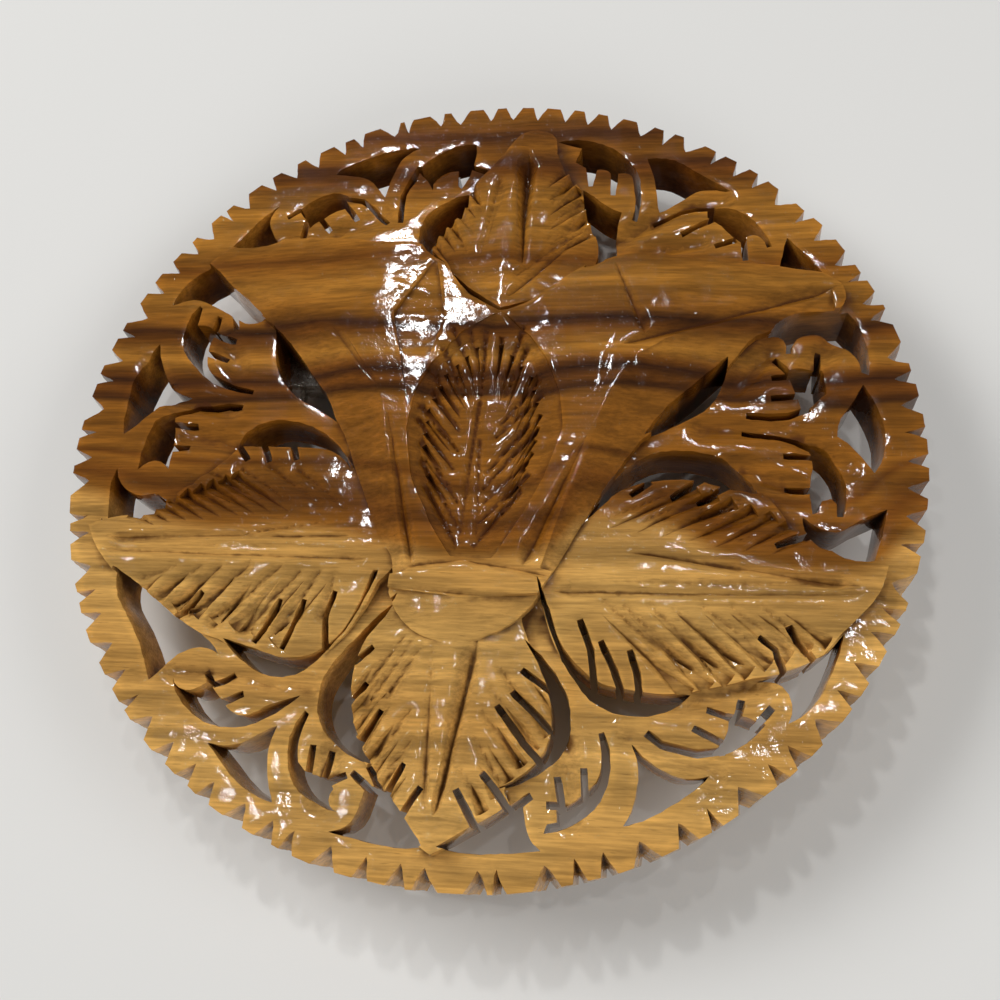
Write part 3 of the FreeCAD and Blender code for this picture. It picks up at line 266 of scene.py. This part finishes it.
def timber_group():
    """Colour of olive-like wood: layers across the grain, long fine fibres and pores."""
    tree, given, out = group("Timber", [("Position", "v", None), ("Waviness", "f", 1.3)],
                             [("Colour", "c"), ("Fibre", "f")])
    split = tree.add("ShaderNodeSeparateXYZ", {"Vector": given["Position"]})
    x, y, _ = split.outputs
    slow = tree.stretched(given["Position"], (0.07, 0.2, 0.16))
    bend = tree.math("SUBTRACT", tree.noise(slow, 1.0, 3.0), 0.5)
    place = tree.math("DIVIDE", tree.math("ADD", x, HALF_SPAN), 2 * HALF_SPAN)
    line = tree.math("SUBTRACT", tree.curve(place, SAPWOOD_LINE), 0.5)
    dip = tree.math("MULTIPLY", line, LINE_HEIGHT)
    dip = tree.math("MULTIPLY", dip, tree.spread(y, -5.0, 1.5, 1.0, 0.1))
    across = tree.math("ADD", y, tree.math("MULTIPLY", bend, tree.math(
        "MULTIPLY", given["Waviness"], 3.0)))
    across = tree.math("SUBTRACT", across, dip)
    share = tree.math("DIVIDE", tree.math("ADD", across, HALF_SPAN), 2 * HALF_SPAN)
    colour = tree.ramp(share, TIMBER_LAYERS)
    fine = tree.stretched(given["Position"], (0.3, 5.0, 5.0))
    fibre = tree.noise(fine, 1.0, 5.0, 0.6)
    shade = tree.spread(fibre, 0.3, 0.7, 0.76, 1.14)
    layer = tree.stretched(given["Position"], (0.05, 0.9, 0.6))
    band = tree.spread(tree.noise(layer, 1.0, 3.0, 0.6), 0.3, 0.7, 0.66, 1.22)
    pore = tree.stretched(given["Position"], (0.7, 9.0, 9.0))
    pores = tree.spread(tree.noise(pore, 1.0, 1.0), 0.66, 0.78, 1.0, 0.72)
    tone = tree.math("MULTIPLY", tree.math("MULTIPLY", shade, band), pores)
    grey = tree.add("ShaderNodeCombineColor", {"Red": tone, "Green": tone, "Blue": tone})
    colour = tree.mix(1.0, colour, grey.outputs[0], "MULTIPLY")
    tree.put(colour, out["Colour"])
    tree.put(fibre, out["Fibre"])


def lacquer_group():
    """A thick coat of lacquer: soft waves, fine pimples and little dust nibs."""
    tree, given, out = group("Lacquer_Skin", [("Position", "v", None), ("Waves", "f", 1.0),
                                              ("Pimples", "f", 1.0)],
                             [("Height", "f"), ("Roughness", "f")])
    waves = tree.noise(given["Position"], 1.1, 2.0)
    pimples = tree.noise(given["Position"], 8.0, 1.0, 0.5)
    nibs = tree.spread(tree.noise(given["Position"], 9.0, 0.0), 0.66, 0.82)
    height = tree.math("MULTIPLY", waves, given["Waves"])
    height = tree.math("MULTIPLY_ADD", pimples, given["Pimples"], height)
    height = tree.math("MULTIPLY_ADD", nibs, 0.08, height)
    tree.put(height, out["Height"])
    tree.put(tree.spread(tree.noise(given["Position"], 0.9, 3.0), 0.35, 0.65, 0.04, 0.09),
             out["Roughness"])


def hollow_shade_group():
    """Painted shade, with lacquer and grime gathered there, darkens a cut; wear and a painted
    highlight pale an edge.
    """
    tree, given, out = group("Hollow_Shade_And_Lacquer", [("Colour", "c", None), ("Relief", "f", 0.5),
                                                ("Position", "v", None)], [("Colour", "c")])
    stray = tree.math("MULTIPLY_ADD", tree.noise(given["Position"], 1.6, 3.0), 0.24, -0.12)
    level = tree.math("ADD", given["Relief"], stray)
    # Painted shade: the deeper a point lies in a cut, the more of the dark colour below it
    # takes.
    cut = tree.spread(level, 0.1, 0.47, 1.0, 0.0)
    colour = tree.mix(tree.math("MULTIPLY", cut, 0.85), given["Colour"],
                      (0.075, 0.022, 0.006, 1.0))
    # Paler wood on a raised edge: partly wear, partly a painted highlight.
    edge = tree.spread(level, 0.56, 0.85, 0.0, 0.35)
    pale = tree.mix(1.0, given["Colour"], (1.5, 1.45, 1.3, 1.0), "MULTIPLY")
    tree.put(tree.mix(edge, colour, pale), out["Colour"])


def rubbed_group():
    """Rubbing marks along a length, with dull spots, for plated sheet and wire."""
    tree, given, out = group("Rubbed_Metal", [("Position", "v", None), ("Dullness", "f", 0.5)],
                             [("Tone", "f"), ("Roughness", "f"), ("Height", "f")])
    along = tree.stretched(given["Position"], (0.8, 22.0, 22.0))
    marks = tree.noise(along, 1.0, 4.0, 0.6)
    spots = tree.spread(tree.noise(given["Position"], 2.2, 4.0, 0.6), 0.5, 0.72)
    tree.put(tree.math("SUBTRACT", 1.0, tree.math("MULTIPLY", spots, tree.math(
        "MULTIPLY", given["Dullness"], 0.5))), out["Tone"])
    rough = tree.math("MULTIPLY_ADD", marks, 0.12, 0.2)
    tree.put(tree.math("MULTIPLY_ADD", spots, tree.math("MULTIPLY", given["Dullness"], 0.4),
                       rough), out["Roughness"])
    tree.put(marks, out["Height"])


HALF_SPAN = 32.0  # millimetres from the middle to either end of the layers
LINE_HEIGHT = 20.0  # millimetres from the lowest to the highest place of the next line
# Where the sapwood ends from left to right, as shares of those two lengths
SAPWOOD_LINE = [(0.0, 0.75), (0.047, 0.72), (0.19, 0.575), (0.34, 0.55), (0.42, 0.475),
                (0.5, 0.435), (0.58, 0.475), (0.625, 0.62), (0.69, 0.60), (0.78, 0.45),
                (0.875, 0.43), (0.953, 0.6), (1.0, 0.62)]
# Growth layers from the bottom of the disc to its top: place (0 to 1) and colour
SAPWOOD = (0.58, 0.325, 0.088)
SAPWOOD_DEEP = (0.50, 0.258, 0.062)
HEARTWOOD = (0.15, 0.048, 0.005)
HEARTWOOD_WARM = (0.25, 0.092, 0.010)
HEARTWOOD_PALE = (0.37, 0.155, 0.021)
STREAK = (0.040, 0.012, 0.003)
DARK_TOP = (0.09, 0.028, 0.006)
TIMBER_LAYERS = [
    (0.00, SAPWOOD_DEEP), (0.12, SAPWOOD), (0.20, SAPWOOD_DEEP), (0.28, SAPWOOD),
    (0.352, SAPWOOD_DEEP), (0.372, HEARTWOOD_WARM), (0.40, HEARTWOOD), (0.436, HEARTWOOD_WARM),
    (0.446, HEARTWOOD), (0.456, HEARTWOOD_WARM), (0.50, HEARTWOOD_WARM), (0.53, HEARTWOOD_WARM),
    (0.540, STREAK), (0.550, HEARTWOOD), (0.562, STREAK), (0.572, HEARTWOOD),
    (0.59, HEARTWOOD_PALE), (0.618, HEARTWOOD), (0.630, STREAK), (0.642, HEARTWOOD_WARM),
    (0.68, HEARTWOOD_PALE), (0.71, HEARTWOOD_WARM), (0.72, HEARTWOOD), (0.73, HEARTWOOD_WARM),
    (0.76, HEARTWOOD_PALE), (0.81, HEARTWOOD_PALE), (0.85, HEARTWOOD),
    (0.87, DARK_TOP), (0.89, HEARTWOOD_WARM), (0.92, DARK_TOP), (0.95, HEARTWOOD_WARM),
    (1.0, DARK_TOP),
]

timber_group()
lacquer_group()
hollow_shade_group()
rubbed_group()


# ---------------------------------------------------------------- materials


def new_material(name):
    """A material with its tree, its shader, and the place on the part in millimetres."""
    made = bpy.data.materials.new(name)
    made.use_nodes = True
    made.node_tree.nodes.clear()
    tree = Tree(made.node_tree)
    shader = tree.add("ShaderNodeBsdfPrincipled")
    tree.add("ShaderNodeOutputMaterial", {"Surface": shader.outputs[0]})
    place = tree.add("ShaderNodeTexCoord").outputs["Object"]
    return made, tree, shader, tree.stretched(place, (1000.0, 1000.0, 1000.0))


def use_group(tree, name, inputs):
    node = tree.add("ShaderNodeGroup")
    node.node_tree = bpy.data.node_groups[name]
    for key, value in inputs.items():
        tree.put(value, node.inputs[key])
    return node.outputs


def bump(tree, height, distance, strength=1.0, below=None):
    inputs = {"Height": height, "Distance": distance * MM, "Strength": strength}
    if below is not None:
        inputs["Normal"] = below
    return tree.add("ShaderNodeBump", inputs).outputs[0]


def lacquered_wood():
    """Glossy lacquer over the wood; the wood's own fibres show faintly in the surface."""
    made, tree, shader, place = new_material("lacquered_wood")
    timber = use_group(tree, "Timber", {"Position": place, "Waviness": 0.6})
    skin = use_group(tree, "Lacquer_Skin", {"Position": place, "Waves": 0.4, "Pimples": 0.095})
    relief = tree.add("ShaderNodeAttribute", attribute_name="Relief").outputs["Fac"]
    # The wood's colour takes painted shade in the cuts and a painted highlight on the edges,
    # with gathered lacquer and wear.
    shaded_colour = use_group(tree, "Hollow_Shade_And_Lacquer", {"Colour": timber["Colour"], "Relief": relief,
                                                "Position": place})
    tree.put(shaded_colour["Colour"], shader.inputs["Base Color"])
    tree.put(skin["Roughness"], shader.inputs["Roughness"])
    fibres = bump(tree, timber["Fibre"], 0.0015)
    tree.put(bump(tree, skin["Height"], 0.05, 1.0, fibres), shader.inputs["Normal"])
    shader.inputs["Specular IOR Level"].default_value = 0.5
    return made


def rubbed_metal(name, colour, dullness):
    made, tree, shader, place = new_material(name)
    rubbed = use_group(tree, "Rubbed_Metal", {"Position": place, "Dullness": dullness})
    grey = tree.add("ShaderNodeCombineColor", {"Red": rubbed["Tone"], "Green": rubbed["Tone"],
                                               "Blue": rubbed["Tone"]})
    tree.put(tree.mix(1.0, (*colour, 1.0), grey.outputs[0], "MULTIPLY"),
             shader.inputs["Base Color"])
    tree.put(rubbed["Roughness"], shader.inputs["Roughness"])
    tree.put(bump(tree, rubbed["Height"], 0.01), shader.inputs["Normal"])
    shader.inputs["Metallic"].default_value = 1.0
    return made


def dress(piece, material):
    """Gives a piece one material over all its faces."""
    piece.data.materials.clear()
    piece.data.materials.append(material)


# ---------------------------------------------------------------- the carved wood


def flat_regions(mesh):
    """Groups the model's triangles into the flats that they belong to."""
    for face in mesh.faces:
        face.tag = False
    regions = []
    for seed in mesh.faces:
        if seed.tag:
            continue
        seed.tag = True
        region, waiting = [], [seed]
        while waiting:
            face = waiting.pop()
            region.append(face)
            for edge in face.edges:
                for other in edge.link_faces:
                    if not other.tag and other.normal.dot(face.normal) > SAME_FLAT:
                        other.tag = True
                        waiting.append(other)
        regions.append(region)
    return regions


def steps_along(edge, points, step):
    """Indices of the points along an edge, new ones added evenly between its ends."""
    first, last = edge.verts
    count = max(1, math.ceil((last.co - first.co).length / step))
    run = [first.index]
    for index in range(1, count):
        points.append(first.co.lerp(last.co, index / count))
        run.append(len(points) - 1)
    return run + [last.index]


def covered(place, starts, spans):
    """Whether a place lies inside the border, by how many of its segments a ray crosses."""
    rise = place[1] - starts[:, 1]
    passes = (rise >= 0) != (rise >= spans[:, 1])
    with np.errstate(divide="ignore", invalid="ignore"):
        reach = starts[:, 0] + rise / spans[:, 1] * spans[:, 0]
    return (passes & (place[0] < reach)).sum() % 2 == 1


def inside_border(places, faces, walls, starts, spans):
    """Which triangles lie inside: known for the largest, changed by each wall crossed."""
    corners = np.array([tuple(place) for place in places])[np.array(faces)]
    sides = corners[:, 1:] - corners[:, :1]
    areas = sides[:, 0, 0] * sides[:, 1, 1] - sides[:, 0, 1] * sides[:, 1, 0]
    largest = int(np.abs(areas).argmax())
    beside = {}
    for index, face in enumerate(faces):
        for a, b in zip(face, (face[1], face[2], face[0])):
            beside.setdefault((min(a, b), max(a, b)), []).append(index)
    across = [[] for _ in faces]
    for edge, pair in beside.items():
        if len(pair) == 2:
            across[pair[0]].append((pair[1], edge in walls))
            across[pair[1]].append((pair[0], edge in walls))
    inside = {largest: covered(corners[largest].mean(0), starts, spans)}
    waiting = [largest]
    while waiting:
        index = waiting.pop()
        for other, wall in across[index]:
            if other not in inside:
                inside[other] = inside[index] != wall
                waiting.append(other)
    return [inside.get(index, False) for index in range(len(faces))]


def refill(region, runs, points, spacing):
    """Triangles of even size over one flat, from its border's points and a loose grid."""
    normal = max(region, key=lambda face: face.calc_area()).normal
    across = normal.orthogonal().normalized()
    upward = normal.cross(across)
    inside = set(region)
    border = [edge for face in region for edge in face.edges
              if len([f for f in edge.link_faces if f in inside]) == 1]
    local, flat, segments = {}, [], []
    for edge in border:
        run = runs[edge.index]
        for index in run:
            if index not in local:
                local[index] = len(flat)
                flat.append((points[index].dot(across), points[index].dot(upward)))
        segments += [(local[a], local[b]) for a, b in zip(run, run[1:])]
    height = points[next(iter(local))].dot(normal)
    known = list(local)
    flat_array = np.array(flat)
    low, high = flat_array.min(0), flat_array.max(0)
    starts = flat_array[[a for a, b in segments]]
    spans = flat_array[[b for a, b in segments]] - starts
    if (high - low).min() > SMALLEST_GRID * spacing:
        columns = np.arange(low[0], high[0], spacing)
        rows = np.arange(low[1], high[1], spacing * ROW_SHARE)
        grid = np.array([(x + spacing / 2 * (j % 2), y) for j, y in enumerate(rows)
                         for x in columns])
        grid += CHANCE.uniform(-GRID_STRAY, GRID_STRAY, grid.shape) * spacing
        lengths = (spans ** 2).sum(1)
        keep = []
        for block in np.array_split(grid, max(1, len(grid) // BLOCK)):
            offset = block[:, None] - starts[None]
            share = np.clip((offset * spans).sum(2) / lengths, 0, 1)
            gap = offset - share[..., None] * spans
            keep.append(block[np.sqrt((gap ** 2).sum(2).min(1)) > spacing * BORDER_GAP])
        for x, y in np.concatenate(keep):
            flat.append((x, y))
    result = geometry.delaunay_2d_cdt([Vector(p) for p in flat], segments, [], 0, 1e-9)
    places, edges, faces, origins, drawn = result[:5]
    walls = {(min(edge), max(edge)) for edge, origin in zip(edges, drawn) if origin}
    index_of = []
    for place, origin in zip(places, origins):
        if origin and origin[0] < len(known):
            index_of.append(known[origin[0]])
        else:
            index_of.append(None)
    filled = []
    for face, wanted in zip(faces, inside_border(places, faces, walls, starts, spans)):
        if not wanted:
            continue
        corners = []
        for corner in face:
            if index_of[corner] is None:
                place = places[corner]
                points.append(across * place.x + upward * place.y + normal * height)
                index_of[corner] = len(points) - 1
            corners.append(index_of[corner])
        filled.append(corners)
    return filled


def even_mesh(source):
    """The model's solid again, with triangles small enough to be worked on."""
    mesh = bmesh.new()
    mesh.from_mesh(source)
    mesh.transform(Matrix.Scale(1 / MM, 4))
    bmesh.ops.remove_doubles(mesh, verts=mesh.verts, dist=SAME_POINT)
    bmesh.ops.dissolve_degenerate(mesh, edges=mesh.edges, dist=SLIVER)
    bmesh.ops.triangulate(mesh, faces=mesh.faces)
    mesh.normal_update()
    for items in (mesh.verts, mesh.edges, mesh.faces):
        items.index_update()
        items.ensure_lookup_table()
    regions = flat_regions(mesh)
    points = [vert.co.copy() for vert in mesh.verts]
    runs = {edge.index: steps_along(edge, points, BORDER_STEP) for edge in mesh.edges}
    faces = []
    for region in regions:
        spacing = SIDE_STEP
        if region[0].normal.z > FACES_FRONT:
            level = all(abs(vert.co.z - RIM_FACE) < LEVEL_SLACK for vert in region[0].verts)
            spacing = FRONT_STEP if level else LEAF_STEP
        faces += refill(region, runs, points, spacing)
    mesh.free()
    return np.array([tuple(p) for p in points]), faces


def uneven(point):
    """Where a point of the model comes to lie on wood that was cut by hand."""
    hold = min(1.0, max(0.0, point.z / HAND_HEIGHT))
    moved = point + noise.noise_vector(point / WAVE_LENGTH) * HAND_WAVE * hold
    moved += noise.noise_vector(point * RIPPLES + Vector((5, 3, 1))) * HAND_RIPPLE * hold
    radius = math.hypot(point.x, point.y)
    if radius > TOOTH_ROOT:
        share = min(1.0, (radius - TOOTH_ROOT) / TOOTH_BLEND)
        around = Vector((point.x, point.y, 0)) / radius * TOOTH_CHANGES
        turn = noise.noise(around + Vector((3, 1, 4))) * TOOTH_WANDER * share / radius
        moved.rotate(Matrix.Rotation(turn, 3, "Z"))
    return moved


def worn_edges(mesh):
    """Draws the points of each sharp edge in a little, as sanding and lacquer do."""
    moves = []
    for vert in mesh.verts:
        sharp = [edge for edge in vert.link_edges if edge.calc_face_angle_signed(0.0) > SHARP]
        if not sharp or vert.co.z < WORN_FROM:
            continue
        others = [edge.other_vert(vert).co for edge in vert.link_edges]
        shift = sum(others, Vector()) / len(others) - vert.co
        if len(sharp) == 2:
            along = sharp[0].other_vert(vert).co - sharp[1].other_vert(vert).co
            along.normalize()
            shift -= along * shift.dot(along)
        if shift.length > EDGE_WEAR:
            shift *= EDGE_WEAR / shift.length
        moves.append((vert, shift))
    for vert, shift in moves:
        vert.co += shift


def cut_depths(verts, cuts, taper):
    """How deep the gouge cuts are at each point; their starts are narrower by the taper."""
    places = np.array([vert.co.xy[:] for vert in verts]).reshape(-1, 2)
    deepest = np.zeros(len(places))
    for start, end, reach, depth in cuts:
        way = np.subtract(end, start)
        offset = places - start
        share = np.clip(offset @ way / way.dot(way), 0, 1)
        size = 1 - taper * (1 - share)
        gap = np.hypot(*(offset - share[:, None] * way).T)
        deepest = np.maximum(deepest, depth * size * np.clip(1 - gap / (reach * size), 0, 1))
    return deepest


def gouge(mesh):
    """Sinks the gouge cuts into the front and says how much painted shade, with gathered
    lacquer, darkens each point.
    """
    front = [vert for vert in mesh.verts if vert.normal.z > POINT_FRONT]
    level = [vert for vert in front if abs(vert.co.z - RIM_FACE) < LEVEL_SLACK]
    slanted = [vert for vert in front if abs(vert.co.z - RIM_FACE) >= LEVEL_SLACK]
    carved, painted_cut_shade = {}, {}
    for cuts, in_level, taper, shade_per_depth in CUTS:
        verts = level if in_level else slanted
        for vert, depth in zip(verts, cut_depths(verts, cuts, taper)):
            carved[vert] = max(carved.get(vert, 0.0), depth)
            # Painted shade, with gathered lacquer, that grows with the depth of the cut.
            painted_cut_shade[vert] = max(painted_cut_shade.get(vert, 0.0), depth * shade_per_depth)
    for vert, depth in carved.items():
        vert.co.z -= depth
    return painted_cut_shade


def relief(mesh):
    """For each point, how far the wood folds in (under 0.5) or out (over 0.5) round it."""
    # The folds colour the wood: painted shade in a hollow, wear and a painted highlight on an
    # edge.
    values = {}
    for vert in mesh.verts:
        turns = [edge.calc_face_angle_signed(0.0) for edge in vert.link_edges]
        values[vert] = sum(turns) / max(1, sum(abs(turn) > FLAT_TURN for turn in turns))
    for _ in range(FOLD_PASSES):
        values = {vert: 0.5 * value + 0.5 * sum(values[edge.other_vert(vert)] for edge in
                                                vert.link_edges) / len(vert.link_edges)
                  for vert, value in values.items()}
    return [min(1.0, max(0.0, 0.5 + FOLD_GAIN * values[vert])) for vert in mesh.verts]


def carved_wood(source, material):
    """The carved disc with hand-cut unevenness and worn edges, inside the model's box."""
    points, faces = even_mesh(source.data)
    mesh = bmesh.new()
    verts = [mesh.verts.new(point) for point in points]
    for face in faces:
        try:
            mesh.faces.new([verts[index] for index in face])
        except ValueError:
            continue
    loose = [vert for vert in mesh.verts if not vert.link_faces]
    bmesh.ops.delete(mesh, geom=loose, context="VERTS")
    mesh.normal_update()
    painted_cut_shade = gouge(mesh)
    mesh.normal_update()
    # The cuts' painted shade lowers the relief that colours the wood.
    folds = [fold - painted_cut_shade.get(vert, 0.0) for fold, vert in zip(relief(mesh), mesh.verts)]
    worn_edges(mesh)
    low, high = (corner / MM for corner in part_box("carved_disc"))
    for vert in mesh.verts:
        place = uneven(vert.co)
        vert.co = [min(max(value, least), most) for value, least, most in zip(place, low, high)]
    mesh.transform(Matrix.Scale(MM, 4))
    made = bpy.data.meshes.new("carved_wood")
    mesh.to_mesh(made)
    mesh.free()
    made.attributes.new("Relief", "FLOAT", "POINT").data.foreach_set("value", folds)
    made.shade_smooth()
    made.set_sharp_from_angle(angle=SHARP)
    made.materials.append(material)
    piece = bpy.data.objects.new("carved_wood", made)
    bpy.context.scene.collection.objects.link(piece)
    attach(piece, "brooch")
    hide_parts("carved_disc")


# ---------------------------------------------------------------- pieces

wood = lacquered_wood()
plated = rubbed_metal("plated_sheet", (0.70, 0.68, 0.62), 0.6)
wire = rubbed_metal("steel_wire", (0.74, 0.74, 0.73), 0.3)

carved_wood(nodes["carved_disc"], wood)
for name in ("pin_bar", "hinge_rivet", "catch_lock"):
    dress(nodes[name], plated)
dress(nodes["pin_stem"], wire)


# ---------------------------------------------------------------- floor, light and camera


def pale_floor():
    """A wide pale floor at the part's lowest point, clear when seen from below."""
    lowest = cad_box[0].z
    half = 3.0
    mesh = bpy.data.meshes.new("floor")
    corners = [(-half, -half, lowest), (half, -half, lowest), (half, half, lowest),
               (-half, half, lowest)]
    mesh.from_pydata(corners, [], [(0, 1, 2, 3)])
    floor = bpy.data.objects.new("floor", mesh)
    bpy.context.scene.collection.objects.link(floor)
    made = bpy.data.materials.new("pale_floor")
    made.use_nodes = True
    shader = made.node_tree.nodes["Principled BSDF"]
    shader.inputs["Base Color"].default_value = (0.785, 0.78, 0.76, 1.0)
    shader.inputs["Roughness"].default_value = 0.85
    shader.inputs["Specular IOR Level"].default_value = 0.2
    tree = Tree(made.node_tree)
    below = tree.add("ShaderNodeNewGeometry").outputs["Backfacing"]
    clear = tree.add("ShaderNodeBsdfTransparent").outputs[0]
    mixed = tree.add("ShaderNodeMixShader", {0: below, 1: shader.outputs[0], 2: clear})
    tree.put(mixed.outputs[0], made.node_tree.nodes["Material Output"].inputs["Surface"])
    mesh.materials.append(made)


# Name, azimuth, elevation, distance, width, height, power, and whether glossy faces mirror it
LAMPS = [
    ("lamp_left", 198, 53, 0.9, 0.045, 0.04, 0.9, True),
    ("lamp_back", 166, 61, 0.9, 0.03, 0.03, 0.4, True),
    ("lamp_right", 128, 74, 0.9, 0.03, 0.03, 0.35, True),
    ("lamp_overhead", 262, 68, 0.9, 0.025, 0.025, 0.25, True),
    ("key_window", 248, 36, 0.7, 0.4, 0.25, 3.2, False),
    ("right_window", 85, 34, 0.7, 0.4, 0.25, 1.3, False),
    ("front_fill", 15, 28, 0.7, 0.4, 0.25, 1.2, False),
]


def lamp(name, azimuth, elevation, distance, width, height, power, mirrored):
    """A lamp that looks at the middle of the part."""
    data = bpy.data.lights.new(name, "AREA")
    data.shape = "RECTANGLE"
    data.size = width
    data.size_y = height
    data.energy = power
    made = bpy.data.objects.new(name, data)
    bpy.context.scene.collection.objects.link(made)
    turn, lift = math.radians(azimuth), math.radians(elevation)
    way = Vector((math.sin(turn) * math.cos(lift), -math.cos(turn) * math.cos(lift),
                  math.sin(lift)))
    made.location = way * distance
    made.rotation_mode = "QUATERNION"
    made.rotation_quaternion = (-way).to_track_quat("-Z", "Y")
    made.visible_glossy = mirrored


def soft_world(strength):
    world = bpy.data.worlds.new("studio")
    bpy.context.scene.world = world
    world.use_nodes = True
    background = world.node_tree.nodes["Background"]
    background.inputs["Color"].default_value = (1.0, 0.98, 0.95, 1.0)
    background.inputs["Strength"].default_value = strength


def photo_camera():
    """The camera at the photograph's angle, worked out from the rim's ellipse."""
    data = bpy.data.cameras.new("camera")
    data.lens = 33.26
    data.sensor_width = 36.0
    data.clip_start = 0.001
    made = bpy.data.objects.new("camera", data)
    bpy.context.scene.collection.objects.link(made)
    target = Vector((1.676, -5.172, 3.6)) * MM
    place = Vector((9.149, -29.138, 61.285)) * MM
    back = (place - target).normalized()
    side = (-back).cross(Vector((0, 0, 1))).normalized()
    top = side.cross(-back)
    roll = math.radians(-15.4518)
    right = side * math.cos(roll) + top * math.sin(roll)
    up = top * math.cos(roll) - side * math.sin(roll)
    turned = Matrix((right, up, back)).transposed().to_4x4()
    made.matrix_world = Matrix.Translation(place) @ turned
    bpy.context.scene.camera = made


pale_floor()
for values in LAMPS:
    lamp(*values)
soft_world(0.11)
photo_camera()

bpy.context.scene.view_settings.view_transform = "Standard"
